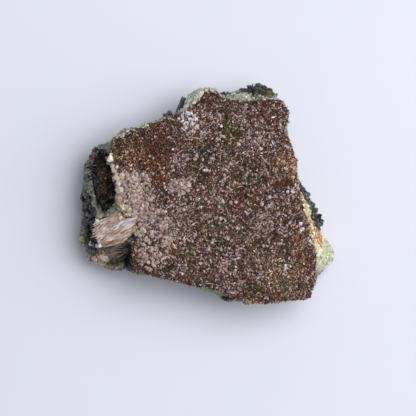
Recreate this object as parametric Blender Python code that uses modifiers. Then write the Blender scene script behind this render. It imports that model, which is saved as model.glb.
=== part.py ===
"""Epidote crystal cluster: a hand-sized slab of pale green matrix rock.

A druse of small crystals covers its top face. A fibrous ledge and a hollow lined with dark
crystals lie at the left, and dark bladed crystals stand out of its rear, left and right sides.

+X is the specimen's right and +Y its rear, seen from above. Sizes here are in millimetres and
are turned into metres as each mesh is made.
"""

import math
import random

import bmesh
import bpy
from mathutils import Euler, Matrix, Vector, noise
from mathutils.geometry import delaunay_2d_cdt

MM = 0.001
SEED = 27
GAP = 0.32
FAR = 90.0
TOOL_FLOOR = -20.0
TOOL_CEILING = 60.0
TOOL_GRID = 16
TOOL_GRID_HALF = 55.0

# The druse and the bed on which it grew.
BED_HEIGHT = 22.6
BED_SWELL = 1.1
BED_WAVE = 17.0
DRUSE_THICKNESS = 3.6
DRUSE_SWELL = 1.3
DRUSE_WAVE = 13.0
DRUSE_EDGE_DROP = 1.5
DRUSE_EDGE_WIDTH = 3.2
DRUSE_INSET = 0.1
DRUSE_DEPTH = 4.0
DRUSE_CLEARANCE = GAP + 0.35
DRUSE_CLEARANCE_DEPTH = 2.0
RIM_STEP = 1.5
RIM_JITTER = 0.25
RIM_WAVE = 0.5
GRAIN_SPACING = 2.35
GRAIN_MARGIN = 0.9
GRAIN_HEIGHT = 1.25
GRAIN_RANGE = (0.45, 1.15)
PIT_MARGIN = 0.55
PIT_DEPTH = 0.44
PIT_RANGE = (0.3, 1.4)

# The rock: how it is lofted from its base to its crest, tucked in under the druse, and weathered.
BASE_TRIM = 1.6
BASE_CORNERS = 11
FLANK_CORNERS = 15
BREAK_JITTER = 0.25
BREAK_RANGE = (0.93, 1.04)
LOFT_DIRECTIONS = 150
BASE_INSET = 0.98
FLANK_INSET = 0.99
FLANK_SHARE = 1.09
FLANK_HEIGHT = 0.45
SHOULDER_INWARD = 0.4
CREST_INWARD = 0.85
CREST_DROP = 0.6
CREST_WIDER = 0.6
LID_INSET = 0.96
LID_RISE = 3.0
RIM_TUCK = 1.3
RIM_TUCK_REACH = 2.2
VOXEL = 0.85
LUMP_SIZE = 8.0
LUMP_STRENGTH = 1.5
CHIP_SIZE = 7.0
CHIP_STRENGTH = 2.4
ROCK_TRIANGLES = 1800

# The widest outline of the whole slab, clockwise from its rear left corner.
GIRTH = (
    (-32.5, 21.2), (-35.3, 18.0), (-40.8, 14.5), (-43.2, 11.4), (-43.4, 1.0), (-44.2, -7.0),
    (-45.1, -14.5), (-43.4, -18.5), (-41.8, -23.3), (-40.2, -24.5), (-32.9, -26.1),
    (-27.6, -26.4), (-25.9, -28.3), (-21.7, -28.3), (-11.9, -31.1), (-2.8, -33.2),
    (3.1, -34.3), (8.8, -37.1), (13.6, -38.7), (22.0, -38.5), (36.6, -36.8), (37.1, -33.8),
    (38.8, -29.2), (41.6, -25.5), (45.1, -22.0), (44.1, -19.8), (39.4, -12.4), (37.3, -8.0),
    (35.6, -3.6), (33.2, 1.4), (31.6, 8.6), (31.9, 12.4), (29.8, 17.3), (27.7, 23.3),
    (29.0, 25.0), (29.1, 28.2), (27.9, 31.7), (25.7, 33.6), (19.2, 35.6), (13.6, 36.6),
    (8.0, 35.8), (4.9, 35.0), (3.5, 36.0), (1.9, 37.6), (-1.0, 36.9), (-3.5, 36.4),
    (-5.9, 34.1), (-7.3, 31.0), (-10.5, 28.6), (-19.9, 25.9), (-26.9, 23.1),
)

# The druse's own outline: it meets the girth at the rear, right and front, and stops short of
# the hollow and the ledge at the left.
DRUSE = (
    (-32.9, 20.1), (-33.7, 15.9), (-34.8, 13.4), (-32.9, 10.7), (-31.1, 8.6), (-32.1, 5.4),
    (-31.2, 1.9), (-30.6, -3.3), (-29.0, -7.2), (-25.5, -9.6), (-24.1, -12.1), (-26.2, -15.9),
    (-26.4, -22.9), (-25.5, -27.4), (-21.7, -28.0), (-11.9, -30.4), (-2.8, -32.5),
    (3.0, -33.2), (8.4, -35.7), (13.6, -38.4), (22.0, -38.2), (36.4, -36.5), (36.8, -34.1),
    (38.5, -29.6), (38.3, -21.4), (37.3, -15.9), (35.4, -8.9), (33.6, -1.9), (32.2, 3.7),
    (31.3, 8.6), (31.6, 12.4), (29.6, 17.1), (27.4, 23.2), (28.8, 24.8), (28.9, 28.2),
    (27.6, 31.4), (25.7, 32.9), (20.6, 34.0), (15.3, 32.7), (6.3, 33.6), (3.1, 36.0),
    (1.0, 37.4), (-1.4, 36.2), (-4.1, 34.5), (-4.3, 32.4), (-7.3, 29.7), (-10.5, 28.3),
    (-19.8, 25.2), (-29.2, 21.7),
)

# Heights and undercut of the rock's side, by direction in degrees from +X:
# direction, height of the girth, height halfway up to the druse, base's share of the girth.
SIDE = (
    (-180, 14.0, 19.0, 0.93), (-160, 11.0, 18.0, 0.93), (-148, 8.0, 16.0, 0.88),
    (-125, 15.0, 20.0, 0.80), (-95, 17.0, 20.5, 0.74), (-70, 14.0, 19.0, 0.80),
    (-45, 12.0, 18.0, 0.84), (-36, 7.0, 15.0, 0.90), (-26, 4.5, 13.5, 0.95),
    (-10, 7.0, 15.0, 0.88), (10, 15.0, 19.0, 0.80), (40, 17.0, 20.0, 0.76),
    (60, 13.0, 18.0, 0.84), (95, 15.0, 19.5, 0.80), (125, 16.0, 20.0, 0.78),
    (155, 13.0, 19.0, 0.95),
)

# Hollows of the left side: centre, then half sizes.
HOLLOWS = (
    ((-36.6, 8.5, 21.5), (4.0, 7.6, 12.5)),
    ((-35.4, 0.0, 21.0), (4.0, 7.0, 12.0)),
    ((-42.6, -3.5, 19.0), (2.4, 7.0, 8.0)),
    ((-40.6, -13.0, 20.5), (2.5, 8.5, 8.5)),
    ((-29.4, -20.8, 21.5), (3.5, 5.4, 12.0)),
    ((-34.3, -21.4, 21.4), (3.7, 3.3, 8.3)),
)

POCKET = (
    (-38.6, 14.0), (-35.2, 14.4), (-33.6, 9.8), (-33.2, 5.2), (-32.6, 1.0), (-32.0, -3.4),
    (-34.7, -5.6), (-37.6, -4.4), (-38.9, -0.9), (-39.9, 3.3), (-40.1, 9.3),
)
POCKET_FLOOR = 9.2
POCKET_TOP = 12.2
POCKET_STEP = 1.7
POCKET_GRAINS = 1.9
POCKET_GRAIN_MARGIN = 0.8
POCKET_GRAIN_RISE = (0.2, 1.9)
POCKET_PIT_MARGIN = 0.5
POCKET_PIT_DEPTH = (0.2, 1.4)
POCKET_RIM_RISE = 0.6

LEDGE = (
    (-28.6, -5.6), (-31.6, -5.4), (-35.0, -7.9), (-38.8, -9.3), (-38.2, -11.2), (-38.7, -13.0),
    (-37.6, -14.4), (-38.6, -16.2), (-38.0, -18.4), (-35.4, -18.2), (-32.4, -17.7),
    (-29.6, -16.8), (-26.0, -14.4), (-23.4, -12.2),
)
LEDGE_BOTTOM = 13.0
LEDGE_LOW = 18.6
LEDGE_HIGH = 25.4
LEDGE_LEFT = -38.8
LEDGE_RUN = 15.0
LEDGE_RISE_POWER = 0.8
LEDGE_CROWN = 0.9
LEDGE_CROWN_START = -10.0
LEDGE_CROWN_WIDTH = 9.0
LEDGE_RIM_DROP = 0.8
LEDGE_STEP = 1.6
LEDGE_FIBRE_MARGIN = 0.5
LEDGE_FIBRE_PITCH = 1.15
LEDGE_FIBRE_RELIEF = 0.55
LEDGE_FIBRE_STEP = 3.0
LEDGE_FIBRE_ROWS = range(-4, 40)
LEDGE_FIBRE_COLUMNS = range(-24, 24)
LEDGE_FIBRE_ANGLE = math.radians(29)

SEAT_CLEARANCE = GAP + 0.1
SEAT_TOP = 45.0
BLADE_SIDES = 6
BLADE_TAPER = 0.86
BLADE_FLATNESS = 0.66
BLADE_FLATNESS_SWELL = 0.2
BLADE_TIP_TILTS = (0.75, -0.45)
BLADE_TIP_TWIST = 0.25
BLADE_SPIN_BY_HEADING = 7
BLADE_SPIN_BY_LENGTH = 23

# Dark bladed crystals: root, heading in degrees from +X, rise in degrees, length, width.
REAR_BLADES = (
    ((12.2, 34.0, 17.4), -4, 0, 11.4, 3.6), ((13.4, 33.8, 15.6), -6, 0, 9.8, 3.2),
    ((13.8, 33.6, 17.6), 108, 10, 3.9, 2.6), ((15.6, 33.6, 17.8), 98, 14, 4.4, 3.2),
    ((17.4, 33.2, 18.0), 86, 16, 6.1, 3.3), ((18.6, 33.0, 17.2), 76, 12, 5.6, 3.4),
    ((20.2, 32.8, 17.4), 64, 8, 5.0, 3.2), ((21.4, 32.6, 16.8), 46, 4, 3.8, 3.0),
    ((16.6, 33.2, 15.4), 94, -14, 4.6, 3.0), ((20.0, 32.8, 15.2), 68, -14, 4.4, 2.8),
)
SPEAR_BLADES = (
    ((-13.4, 25.6, 17.6), 8, 0, 5.6, 3.0), ((-11.3, 25.5, 17.9), 69, 6, 9.3, 3.2),
    ((-12.6, 25.8, 17.4), 102, 2, 4.0, 2.4), ((-11.0, 27.2, 18.2), 170, 6, 4.6, 1.8),
    ((-9.8, 26.0, 17.0), 52, -8, 6.0, 2.4),
)
FLANK_BLADES = (
    ((30.6, 6.0, 16.4), -60, -3, 8.6, 2.6), ((33.4, 0.6, 15.6), -62, -4, 8.4, 2.9),
    ((35.8, -4.0, 14.8), -60, -3, 7.4, 3.1), ((31.4, 4.0, 15.6), -40, 6, 3.8, 2.3),
    ((33.0, 1.0, 15.0), -24, 12, 3.6, 2.4), ((34.4, -1.8, 14.6), -34, 4, 4.2, 2.6),
    ((35.4, -4.6, 14.2), -14, 14, 3.8, 2.6), ((36.6, -8.4, 13.8), -32, 6, 4.9, 2.8),
    ((36.4, -8.0, 14.4), 6, 10, 3.6, 2.4),
)
LEFT_BLADES = (
    ((-41.2, -2.4, 12.2), -88, 0, 9.8, 2.8), ((-40.8, -11.2, 12.4), -86, 0, 9.8, 2.8),
    ((-41.2, -3.4, 12.0), 104, 46, 5.8, 2.6), ((-41.2, -6.0, 12.2), 126, 60, 5.0, 2.7),
    ((-40.6, -8.6, 12.4), 96, 62, 5.4, 2.6), ((-40.8, -11.4, 12.4), 60, 66, 5.0, 2.6),
    ((-41.2, -14.0, 12.4), 128, 66, 5.0, 2.6), ((-40.2, -16.2, 12.4), 84, 62, 5.2, 2.6),
    ((-40.4, -18.8, 12.2), 108, 58, 4.8, 2.4),
)
POCKET_BLADES = (
    ((-37.2, 11.4, 10.8), 250, 52, 4.6, 2.0), ((-35.2, 8.0, 10.8), 205, 48, 4.6, 2.1),
    ((-37.8, 5.0, 10.8), 20, 50, 4.8, 2.1), ((-35.0, 2.4, 10.8), 160, 54, 4.8, 2.2),
    ((-36.6, -0.6, 10.6), 70, 60, 4.8, 2.3), ((-35.0, -3.0, 10.8), 110, 48, 4.8, 2.0),
)


def clear_scene():
    """Remove the objects of the scene that the script starts in."""
    for obj in list(bpy.data.objects):
        bpy.data.objects.remove(obj)


def new_collection(name):
    """A collection linked to the scene."""
    collection = bpy.data.collections.new(name)
    bpy.context.scene.collection.children.link(collection)
    return collection


def finish(name, colour, roughness, metallic=0.0):
    """A Principled material of one colour."""
    material = bpy.data.materials.new(name)
    material.use_nodes = True
    shader = material.node_tree.nodes["Principled BSDF"]
    shader.inputs["Base Color"].default_value = (*colour, 1.0)
    shader.inputs["Roughness"].default_value = roughness
    shader.inputs["Metallic"].default_value = metallic
    material.diffuse_color = (*colour, 1.0)
    return material


def add_object(name, form, collection):
    """An object holding the bmesh form, whose coordinates are in millimetres."""
    bmesh.ops.recalc_face_normals(form, faces=form.faces)
    bmesh.ops.scale(form, vec=(MM, MM, MM), verts=form.verts)
    mesh = bpy.data.meshes.new(name)
    form.to_mesh(mesh)
    form.free()
    obj = bpy.data.objects.new(name, mesh)
    collection.objects.link(obj)
    return obj


def mark_cutter(obj):
    """Keep a helper out of the model and show it as a wire."""
    obj.hide_render = True
    obj.display_type = "WIRE"
    return obj


def settle(obj):
    """Swap the object's mesh for its evaluated one, and drop its modifiers."""
    graph = bpy.context.evaluated_depsgraph_get()
    mesh = bpy.data.meshes.new_from_object(obj.evaluated_get(graph))
    obj.modifiers.clear()
    obj.data = mesh


def combine(obj, tool, operation, solver="EXACT"):
    """Add a Boolean with the tool to the object."""
    modifier = obj.modifiers.new(f"{operation.title()} {tool.name}", "BOOLEAN")
    modifier.operation = operation
    modifier.solver = solver
    modifier.object = tool


def triangle_count(obj):
    """How many triangles the object's own mesh has."""
    return sum(len(face.vertices) - 2 for face in obj.data.polygons)


def is_inside(point, outline):
    """Whether a point lies inside a closed outline."""
    x, y = point
    inside = False
    previous = outline[-1]
    for corner in outline:
        if (corner[1] > y) != (previous[1] > y):
            reach = (previous[0] - corner[0]) * (y - corner[1]) / (previous[1] - corner[1])
            inside ^= x < corner[0] + reach
        previous = corner
    return inside


def edge_distance(point, outline):
    """Distance from a point to the nearest side of an outline."""
    spot = Vector(point)
    nearest = FAR
    previous = Vector(outline[-1])
    for corner in map(Vector, outline):
        side = corner - previous
        share = max(0.0, min(1.0, (spot - previous).dot(side) / side.length_squared))
        nearest = min(nearest, (spot - previous - share * side).length)
        previous = corner
    return nearest


def grown(outline, distance):
    """The outline with its corners moved outwards, or inwards for a negative distance."""
    corners = [Vector(corner) for corner in outline]
    area = sum(a.cross(b) for a, b in zip(corners, corners[1:] + corners[:1]))
    turn = 1.0 if area > 0 else -1.0
    moved = []
    for before, corner, after in zip(corners[-1:] + corners, corners, corners[1:] + corners[:1]):
        first = (corner - before).normalized()
        second = (after - corner).normalized()
        normals = [Vector((side.y, -side.x)) * turn for side in (first, second)]
        middle = (normals[0] + normals[1]).normalized()
        moved.append(tuple(corner + middle * distance / max(0.5, middle.dot(normals[0]))))
    return moved


def divided(outline, step):
    """The outline with points added, so that none of its sides is much longer than the step."""
    points = []
    for start, end in zip(outline, outline[1:] + outline[:1]):
        parts = max(1, round(math.dist(start, end) / step))
        for i in range(parts):
            share = i / parts
            points.append((start[0] + share * (end[0] - start[0]), start[1] + share * (end[1] - start[1])))
    return points


def bed_height(x, y):
    """Height of the surface on which the druse grew."""
    return BED_HEIGHT + BED_SWELL * noise.noise(Vector((x, y, 3.0)) / BED_WAVE)


def prism(outline, bottom, top):
    """An upright solid over an outline, with its lid and floor at fixed heights."""
    form = bmesh.new()
    ring = [form.verts.new((x, y, bottom)) for x, y in outline]
    floor = form.faces.new(ring)
    raised = bmesh.ops.extrude_face_region(form, geom=[floor])["geom"]
    verts = [item for item in raised if isinstance(item, bmesh.types.BMVert)]
    bmesh.ops.translate(form, vec=(0, 0, top - bottom), verts=verts)
    bmesh.ops.triangulate(form, faces=[face for face in form.faces if len(face.verts) > 4])
    return form


def scattered(outline, spacing, margin, rng):
    """Points inside an outline, none nearer to another than the spacing or to its edge than the margin."""
    xs = [corner[0] for corner in outline]
    ys = [corner[1] for corner in outline]
    area = (max(xs) - min(xs)) * (max(ys) - min(ys))
    cells = {}
    points = []
    for _ in range(int(18 * area / spacing**2)):
        point = (rng.uniform(min(xs), max(xs)), rng.uniform(min(ys), max(ys)))
        home = (int(point[0] // spacing), int(point[1] // spacing))
        near = [
            other
            for i in (-1, 0, 1)
            for j in (-1, 0, 1)
            for other in cells.get((home[0] + i, home[1] + j), ())
        ]
        if any(math.dist(point, other) < spacing for other in near):
            continue
        if is_inside(point, outline) and edge_distance(point, outline) > margin:
            cells.setdefault(home, []).append(point)
            points.append(point)
    return points


def circumcentres(points, outline, margin):
    """Where three neighbouring points meet: the pits between the grains that stand on them."""
    found = delaunay_2d_cdt([Vector(point) for point in points], [], [], 0, 1e-6)
    pits = []
    for triangle in found[2]:
        a, b, c = (found[0][i] for i in triangle)
        double = 2 * (b - a).cross(c - a)
        if abs(double) < 1e-6:
            continue
        ab = (b - a).length_squared
        ac = (c - a).length_squared
        x = a.x + ((c.y - a.y) * ab - (b.y - a.y) * ac) / double
        y = a.y + ((b.x - a.x) * ac - (c.x - a.x) * ab) / double
        if is_inside((x, y), outline) and edge_distance((x, y), outline) > margin:
            pits.append((x, y))
    return pits


def mound(outline, rim_height, heights, bottom):
    """A solid over an outline: its lid joins the rim to the inner points, which carry their heights."""
    rim = [Vector(point) for point in outline]
    inner = [Vector(point) for point in heights]
    loop = list(range(len(rim)))
    verts, _, faces, origins, _, _ = delaunay_2d_cdt(rim + inner, [], [loop], 1, 1e-6)
    tops = [rim_height(*point) for point in outline] + list(heights.values())
    form = bmesh.new()
    lid = [form.verts.new((v.x, v.y, tops[old[0]])) for v, old in zip(verts, origins)]
    for face in faces:
        form.faces.new([lid[i] for i in face])
    edges = [edge for edge in form.edges if edge.is_boundary]
    skirt = bmesh.ops.extrude_edge_only(form, edges=edges)["geom"]
    for vert in (item for item in skirt if isinstance(item, bmesh.types.BMVert)):
        vert.co.z = bottom
    bmesh.ops.holes_fill(form, edges=[edge for edge in form.edges if edge.is_boundary], sides=0)
    bmesh.ops.triangulate(form, faces=[face for face in form.faces if len(face.verts) > 3])
    return form


def side_at(direction):
    """The rock's girth height, shoulder height and base share in one direction, in degrees."""
    rows = [*SIDE, (SIDE[0][0] + 360, *SIDE[0][1:])]
    direction = (direction + 180) % 360 - 180
    for low, high in zip(rows, rows[1:]):
        if low[0] <= direction <= high[0]:
            share = (direction - low[0]) / (high[0] - low[0])
            share = share * share * (3 - 2 * share)
            return [a + share * (b - a) for a, b in zip(low[1:], high[1:])]
    return rows[0][1:]


def reach(outline, angle):
    """How far the outline goes from the centre in one direction."""
    ray = Vector((math.cos(angle), math.sin(angle)))
    far = 0.0
    previous = Vector(outline[-1])
    for corner in map(Vector, outline):
        side = corner - previous
        slant = ray.cross(side)
        if abs(slant) > 1e-9:
            distance = previous.cross(side) / slant
            share = previous.cross(ray) / slant
            if 0 <= share <= 1:
                far = max(far, distance)
        previous = corner
    return far


def broken_outline(corners, share, rng):
    """A polygon with few corners inside the girth, as a break across the rock leaves."""
    outline = []
    for i in range(corners):
        angle = 2 * math.pi * (i + rng.uniform(-BREAK_JITTER, BREAK_JITTER)) / corners
        radius = share * rng.uniform(*BREAK_RANGE) * side_at(math.degrees(angle))[2] * reach(GIRTH, angle)
        outline.append((radius * math.cos(angle), radius * math.sin(angle)))
    return outline


def tucked(girth, druse):
    """The girth in one direction, drawn in under the druse where the two outlines run together."""
    share = max(0.0, min(1.0, (girth - druse) / RIM_TUCK_REACH))
    return girth - RIM_TUCK * (1 - share * share * (3 - 2 * share))


def rock_loft():
    """The rock before it is weathered: sections that change from its base to its top."""
    rng = random.Random(SEED + 2)
    base = broken_outline(BASE_CORNERS, 1.0, rng)
    flank = broken_outline(FLANK_CORNERS, FLANK_SHARE, rng)
    form = bmesh.new()
    rings = [[] for _ in range(6)]
    for i in range(LOFT_DIRECTIONS):
        angle = 2 * math.pi * i / LOFT_DIRECTIONS - math.pi
        girth_height, shoulder_height, _ = side_at(math.degrees(angle))
        druse = reach(DRUSE, angle)
        girth = tucked(reach(GIRTH, angle), druse)
        top = min(girth, druse + CREST_WIDER)
        stations = (
            (min(reach(base, angle), BASE_INSET * girth), -BASE_TRIM),
            (min(reach(flank, angle), FLANK_INSET * girth), FLANK_HEIGHT * girth_height),
            (girth, girth_height),
            (girth + SHOULDER_INWARD * (top - girth), shoulder_height),
            (girth + CREST_INWARD * (top - girth), BED_HEIGHT - CREST_DROP),
            (LID_INSET * top, BED_HEIGHT + LID_RISE),
        )
        for ring, (radius, height) in zip(rings, stations):
            place = (radius * math.cos(angle), radius * math.sin(angle), height)
            ring.append(form.verts.new(place))
    for lower, upper in zip(rings, rings[1:]):
        for i, j in zip(range(LOFT_DIRECTIONS), [*range(1, LOFT_DIRECTIONS), 0]):
            form.faces.new((lower[i], lower[j], upper[j], upper[i]))
    form.faces.new(rings[0][::-1])
    form.faces.new(rings[-1])
    bmesh.ops.triangulate(form, faces=[face for face in form.faces if len(face.verts) > 4])
    return form


def blob(centre, half_sizes):
    """A faceted ellipsoid, for a hollow."""
    form = bmesh.new()
    bmesh.ops.create_icosphere(form, subdivisions=3, radius=1.0)
    bmesh.ops.scale(form, vec=half_sizes, verts=form.verts)
    bmesh.ops.translate(form, vec=centre, verts=form.verts)
    return form


def weather(rock):
    """Turn the smooth loft into broken rock: even skin, lumps, chipped facets, fewer triangles."""
    remesh = rock.modifiers.new("Even skin", "REMESH")
    remesh.mode = "VOXEL"
    remesh.voxel_size = VOXEL * MM
    lumps = bpy.data.textures.new("Rock lumps", "CLOUDS")
    lumps.noise_scale = LUMP_SIZE * MM
    lumps.noise_depth = 1
    chips = bpy.data.textures.new("Rock chips", "VORONOI")
    chips.noise_scale = CHIP_SIZE * MM
    for texture, strength in ((lumps, LUMP_STRENGTH), (chips, CHIP_STRENGTH)):
        displace = rock.modifiers.new(texture.name, "DISPLACE")
        displace.texture = texture
        displace.texture_coords = "GLOBAL"
        displace.mid_level = 0.5
        displace.strength = strength * MM
    settle(rock)
    decimate = rock.modifiers.new("Fewer triangles", "DECIMATE")
    decimate.ratio = ROCK_TRIANGLES / triangle_count(rock)
    settle(rock)


def make_rock(parts, cutters):
    """The pale matrix rock, with its hollows, its flat base and the bed of the druse."""
    rock = add_object("matrix_rock", rock_loft(), parts)
    for i, (centre, half_sizes) in enumerate(HOLLOWS):
        hollow = mark_cutter(add_object(f"hollow_{i}", blob(centre, half_sizes), cutters))
        combine(rock, hollow, "DIFFERENCE", "MANIFOLD")
    settle(rock)
    weather(rock)
    square = ((-FAR, -FAR), (FAR, -FAR), (FAR, FAR), (-FAR, FAR))
    combine(rock, mark_cutter(add_object("under_base", prism(square, TOOL_FLOOR, 0.0), cutters)), "DIFFERENCE")
    return rock


def bed_solid(name, offset, upwards, cutters):
    """A solid whose one face is the bed of the druse and whose other face is far above or below."""
    form = bmesh.new()
    bmesh.ops.create_grid(form, x_segments=TOOL_GRID, y_segments=TOOL_GRID, size=TOOL_GRID_HALF)
    for vert in form.verts:
        vert.co.z = bed_height(vert.co.x, vert.co.y) + offset
    bmesh.ops.triangulate(form, faces=form.faces)
    edges = [edge for edge in form.edges if edge.is_boundary]
    skirt = bmesh.ops.extrude_edge_only(form, edges=edges)["geom"]
    for vert in (item for item in skirt if isinstance(item, bmesh.types.BMVert)):
        vert.co.z = TOOL_CEILING if upwards else TOOL_FLOOR
    bmesh.ops.holes_fill(form, edges=[edge for edge in form.edges if edge.is_boundary], sides=0)
    bmesh.ops.triangulate(form, faces=[face for face in form.faces if len(face.verts) > 3])
    return mark_cutter(add_object(name, form, cutters))


def druse_height(x, y):
    """Height of the druse between its grains: it swells gently and falls off at its edge."""
    swell = DRUSE_SWELL * noise.noise(Vector((x, y, 11.0)) / DRUSE_WAVE)
    edge = max(0.0, 1.0 - edge_distance((x, y), DRUSE) / DRUSE_EDGE_WIDTH)
    return bed_height(x, y) + DRUSE_THICKNESS + swell - DRUSE_EDGE_DROP * edge * edge


def make_druse(parts, under_bed):
    """The crust of small crystals: a pyramid-shaped grain on each scattered point, pits between."""
    rng = random.Random(SEED)
    jitter = (-RIM_JITTER, RIM_JITTER)
    rim = divided(grown(DRUSE, -DRUSE_INSET), RIM_STEP)
    rim = [(x + rng.uniform(*jitter), y + rng.uniform(*jitter)) for x, y in rim]
    grains = scattered(rim, GRAIN_SPACING, GRAIN_MARGIN, rng)
    heights = {}
    for x, y in grains:
        heights[(x, y)] = druse_height(x, y) + GRAIN_HEIGHT * rng.uniform(*GRAIN_RANGE)
    for x, y in circumcentres(grains, rim, PIT_MARGIN):
        heights[(x, y)] = druse_height(x, y) - PIT_DEPTH * rng.uniform(*PIT_RANGE)
    rims = {point: druse_height(*point) + rng.uniform(-RIM_WAVE, RIM_WAVE) for point in rim}
    form = mound(rim, lambda x, y: rims[(x, y)], heights, BED_HEIGHT - DRUSE_DEPTH)
    druse = add_object("druse_crust", form, parts)
    combine(druse, under_bed, "DIFFERENCE")
    return druse


def ledge_height(x, y):
    """The ledge's top: it falls towards the left and is ribbed along its fibres."""
    share = max(0.0, min(1.0, (x - LEDGE_LEFT) / LEDGE_RUN))
    across = x * math.sin(LEDGE_FIBRE_ANGLE) - y * math.cos(LEDGE_FIBRE_ANGLE)
    middle = max(0.0, min(1.0, (across - LEDGE_CROWN_START) / LEDGE_CROWN_WIDTH))
    crown = LEDGE_CROWN * math.sin(math.pi * middle)
    rib = LEDGE_FIBRE_RELIEF * (-1) ** round(across / LEDGE_FIBRE_PITCH)
    return LEDGE_LOW + (LEDGE_HIGH - LEDGE_LOW) * share**LEDGE_RISE_POWER + crown + rib


def fibre_points(outline):
    """Points in rows along the fibres of the ledge."""
    along = Vector((math.cos(LEDGE_FIBRE_ANGLE), math.sin(LEDGE_FIBRE_ANGLE)))
    across = Vector((along.y, -along.x))
    points = []
    for row in LEDGE_FIBRE_ROWS:
        for column in LEDGE_FIBRE_COLUMNS:
            offset = 0.5 * (row % 2)
            spot = (row * LEDGE_FIBRE_PITCH) * across + (column + offset) * LEDGE_FIBRE_STEP * along
            if is_inside(spot, outline) and edge_distance(spot, outline) > LEDGE_FIBRE_MARGIN:
                points.append((spot.x, spot.y))
    return points


def make_ledge(parts, clear_of_druse):
    """The fibrous ledge that stands out over the hollows at the left."""
    outline = divided(LEDGE, LEDGE_STEP)
    heights = {point: ledge_height(*point) for point in fibre_points(outline)}
    form = mound(outline, lambda x, y: ledge_height(x, y) - LEDGE_RIM_DROP, heights, LEDGE_BOTTOM)
    ledge = add_object("fibrous_ledge", form, parts)
    combine(ledge, clear_of_druse, "DIFFERENCE")
    return ledge


def blade(root, heading, rise, length, width, swell=0.0):
    """One bladed crystal: a flat six-sided column that ends in a slanted wedge."""
    form = bmesh.new()
    long = length + 2 * swell
    wide = width / 2 + swell
    bmesh.ops.create_cone(
        form, cap_ends=True, segments=BLADE_SIDES, radius1=wide, radius2=BLADE_TAPER * wide, depth=long,
    )
    flatness = BLADE_FLATNESS + BLADE_FLATNESS_SWELL * swell
    bmesh.ops.scale(form, vec=(1.0, flatness, 1.0), verts=form.verts)
    bmesh.ops.translate(form, vec=(0, 0, length / 2), verts=form.verts)
    for tilt in BLADE_TIP_TILTS:
        normal = Vector((math.sin(tilt), BLADE_TIP_TWIST * tilt, math.cos(tilt)))
        tip = Vector((0.0, 0.0, length + swell))
        geometry = form.verts[:] + form.edges[:] + form.faces[:]
        cut = bmesh.ops.bisect_plane(form, geom=geometry, plane_co=tip, plane_no=normal, clear_outer=True)
        edges = [item for item in cut["geom_cut"] if isinstance(item, bmesh.types.BMEdge)]
        bmesh.ops.holes_fill(form, edges=edges, sides=0)
    bmesh.ops.remove_doubles(form, verts=form.verts, dist=1e-4)
    turn = Euler((0, math.radians(90 - rise), math.radians(heading))).to_matrix().to_4x4()
    degrees = BLADE_SPIN_BY_HEADING * heading + BLADE_SPIN_BY_LENGTH * length
    spin = Matrix.Rotation(math.radians(degrees), 4, "Z")
    bmesh.ops.transform(form, matrix=Matrix.Translation(root) @ turn @ spin, verts=form.verts)
    bmesh.ops.triangulate(form, faces=[face for face in form.faces if len(face.verts) > 4])
    return form


def grow_blades(obj, blades, swell, cutters):
    """Join blades to an object, so that they are one solid with it."""
    for i, sizes in enumerate(blades):
        tool = mark_cutter(add_object(f"{obj.name}_blade_{i}", blade(*sizes, swell), cutters))
        combine(obj, tool, "UNION")


def cluster(name, blades, swell, collection, cutters):
    """Blades grown into one another."""
    obj = add_object(name, blade(*blades[0], swell), collection)
    grow_blades(obj, blades[1:], swell, cutters)
    settle(obj)
    return obj


def make_pocket(parts, cutters):
    """The crust of dark crystals on the floor of the upper hollow."""
    rng = random.Random(SEED + 1)
    rim = divided(POCKET, POCKET_STEP)
    grains = scattered(rim, POCKET_GRAINS, POCKET_GRAIN_MARGIN, rng)
    heights = {point: POCKET_TOP + rng.uniform(*POCKET_GRAIN_RISE) for point in grains}
    for point in circumcentres(grains, rim, POCKET_PIT_MARGIN):
        heights[point] = POCKET_TOP - rng.uniform(*POCKET_PIT_DEPTH)
    form = mound(rim, lambda x, y: POCKET_TOP + POCKET_RIM_RISE, heights, POCKET_FLOOR)
    pocket = add_object("pocket_crystals", form, parts)
    grow_blades(pocket, POCKET_BLADES, 0.0, cutters)
    return pocket


def finishes():
    """Each piece's material."""
    return {
        "matrix_rock": finish("pale_green_matrix", (0.36, 0.36, 0.31), 0.85),
        "druse_crust": finish("red_brown_druse", (0.19, 0.11, 0.09), 0.5),
        "fibrous_ledge": finish("pink_tan_fibres", (0.44, 0.33, 0.27), 0.6),
        "pocket_crystals": finish("dark_brown_crystals", (0.04, 0.035, 0.028), 0.4),
        "spear_crystals": finish("grey_black_epidote", (0.06, 0.065, 0.065), 0.32),
        "rear_crystals": finish("green_black_epidote", (0.05, 0.055, 0.045), 0.32),
        "flank_crystals": finish("grey_green_epidote", (0.09, 0.1, 0.09), 0.35),
        "left_crystals": finish("black_epidote", (0.035, 0.04, 0.04), 0.3),
    }


def make_clusters(parts, cutters, rock, clear_of_druse):
    """The groups of dark blades, each with its socket cut into the rock."""
    groups = {
        "spear_crystals": SPEAR_BLADES,
        "rear_crystals": REAR_BLADES,
        "flank_crystals": FLANK_BLADES,
        "left_crystals": LEFT_BLADES,
    }
    for name, blades in groups.items():
        obj = cluster(name, blades, 0.0, parts, cutters)
        combine(obj, clear_of_druse, "DIFFERENCE")
        socket = mark_cutter(cluster(f"{name}_socket", blades, GAP, cutters, cutters))
        combine(rock, socket, "DIFFERENCE")


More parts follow.
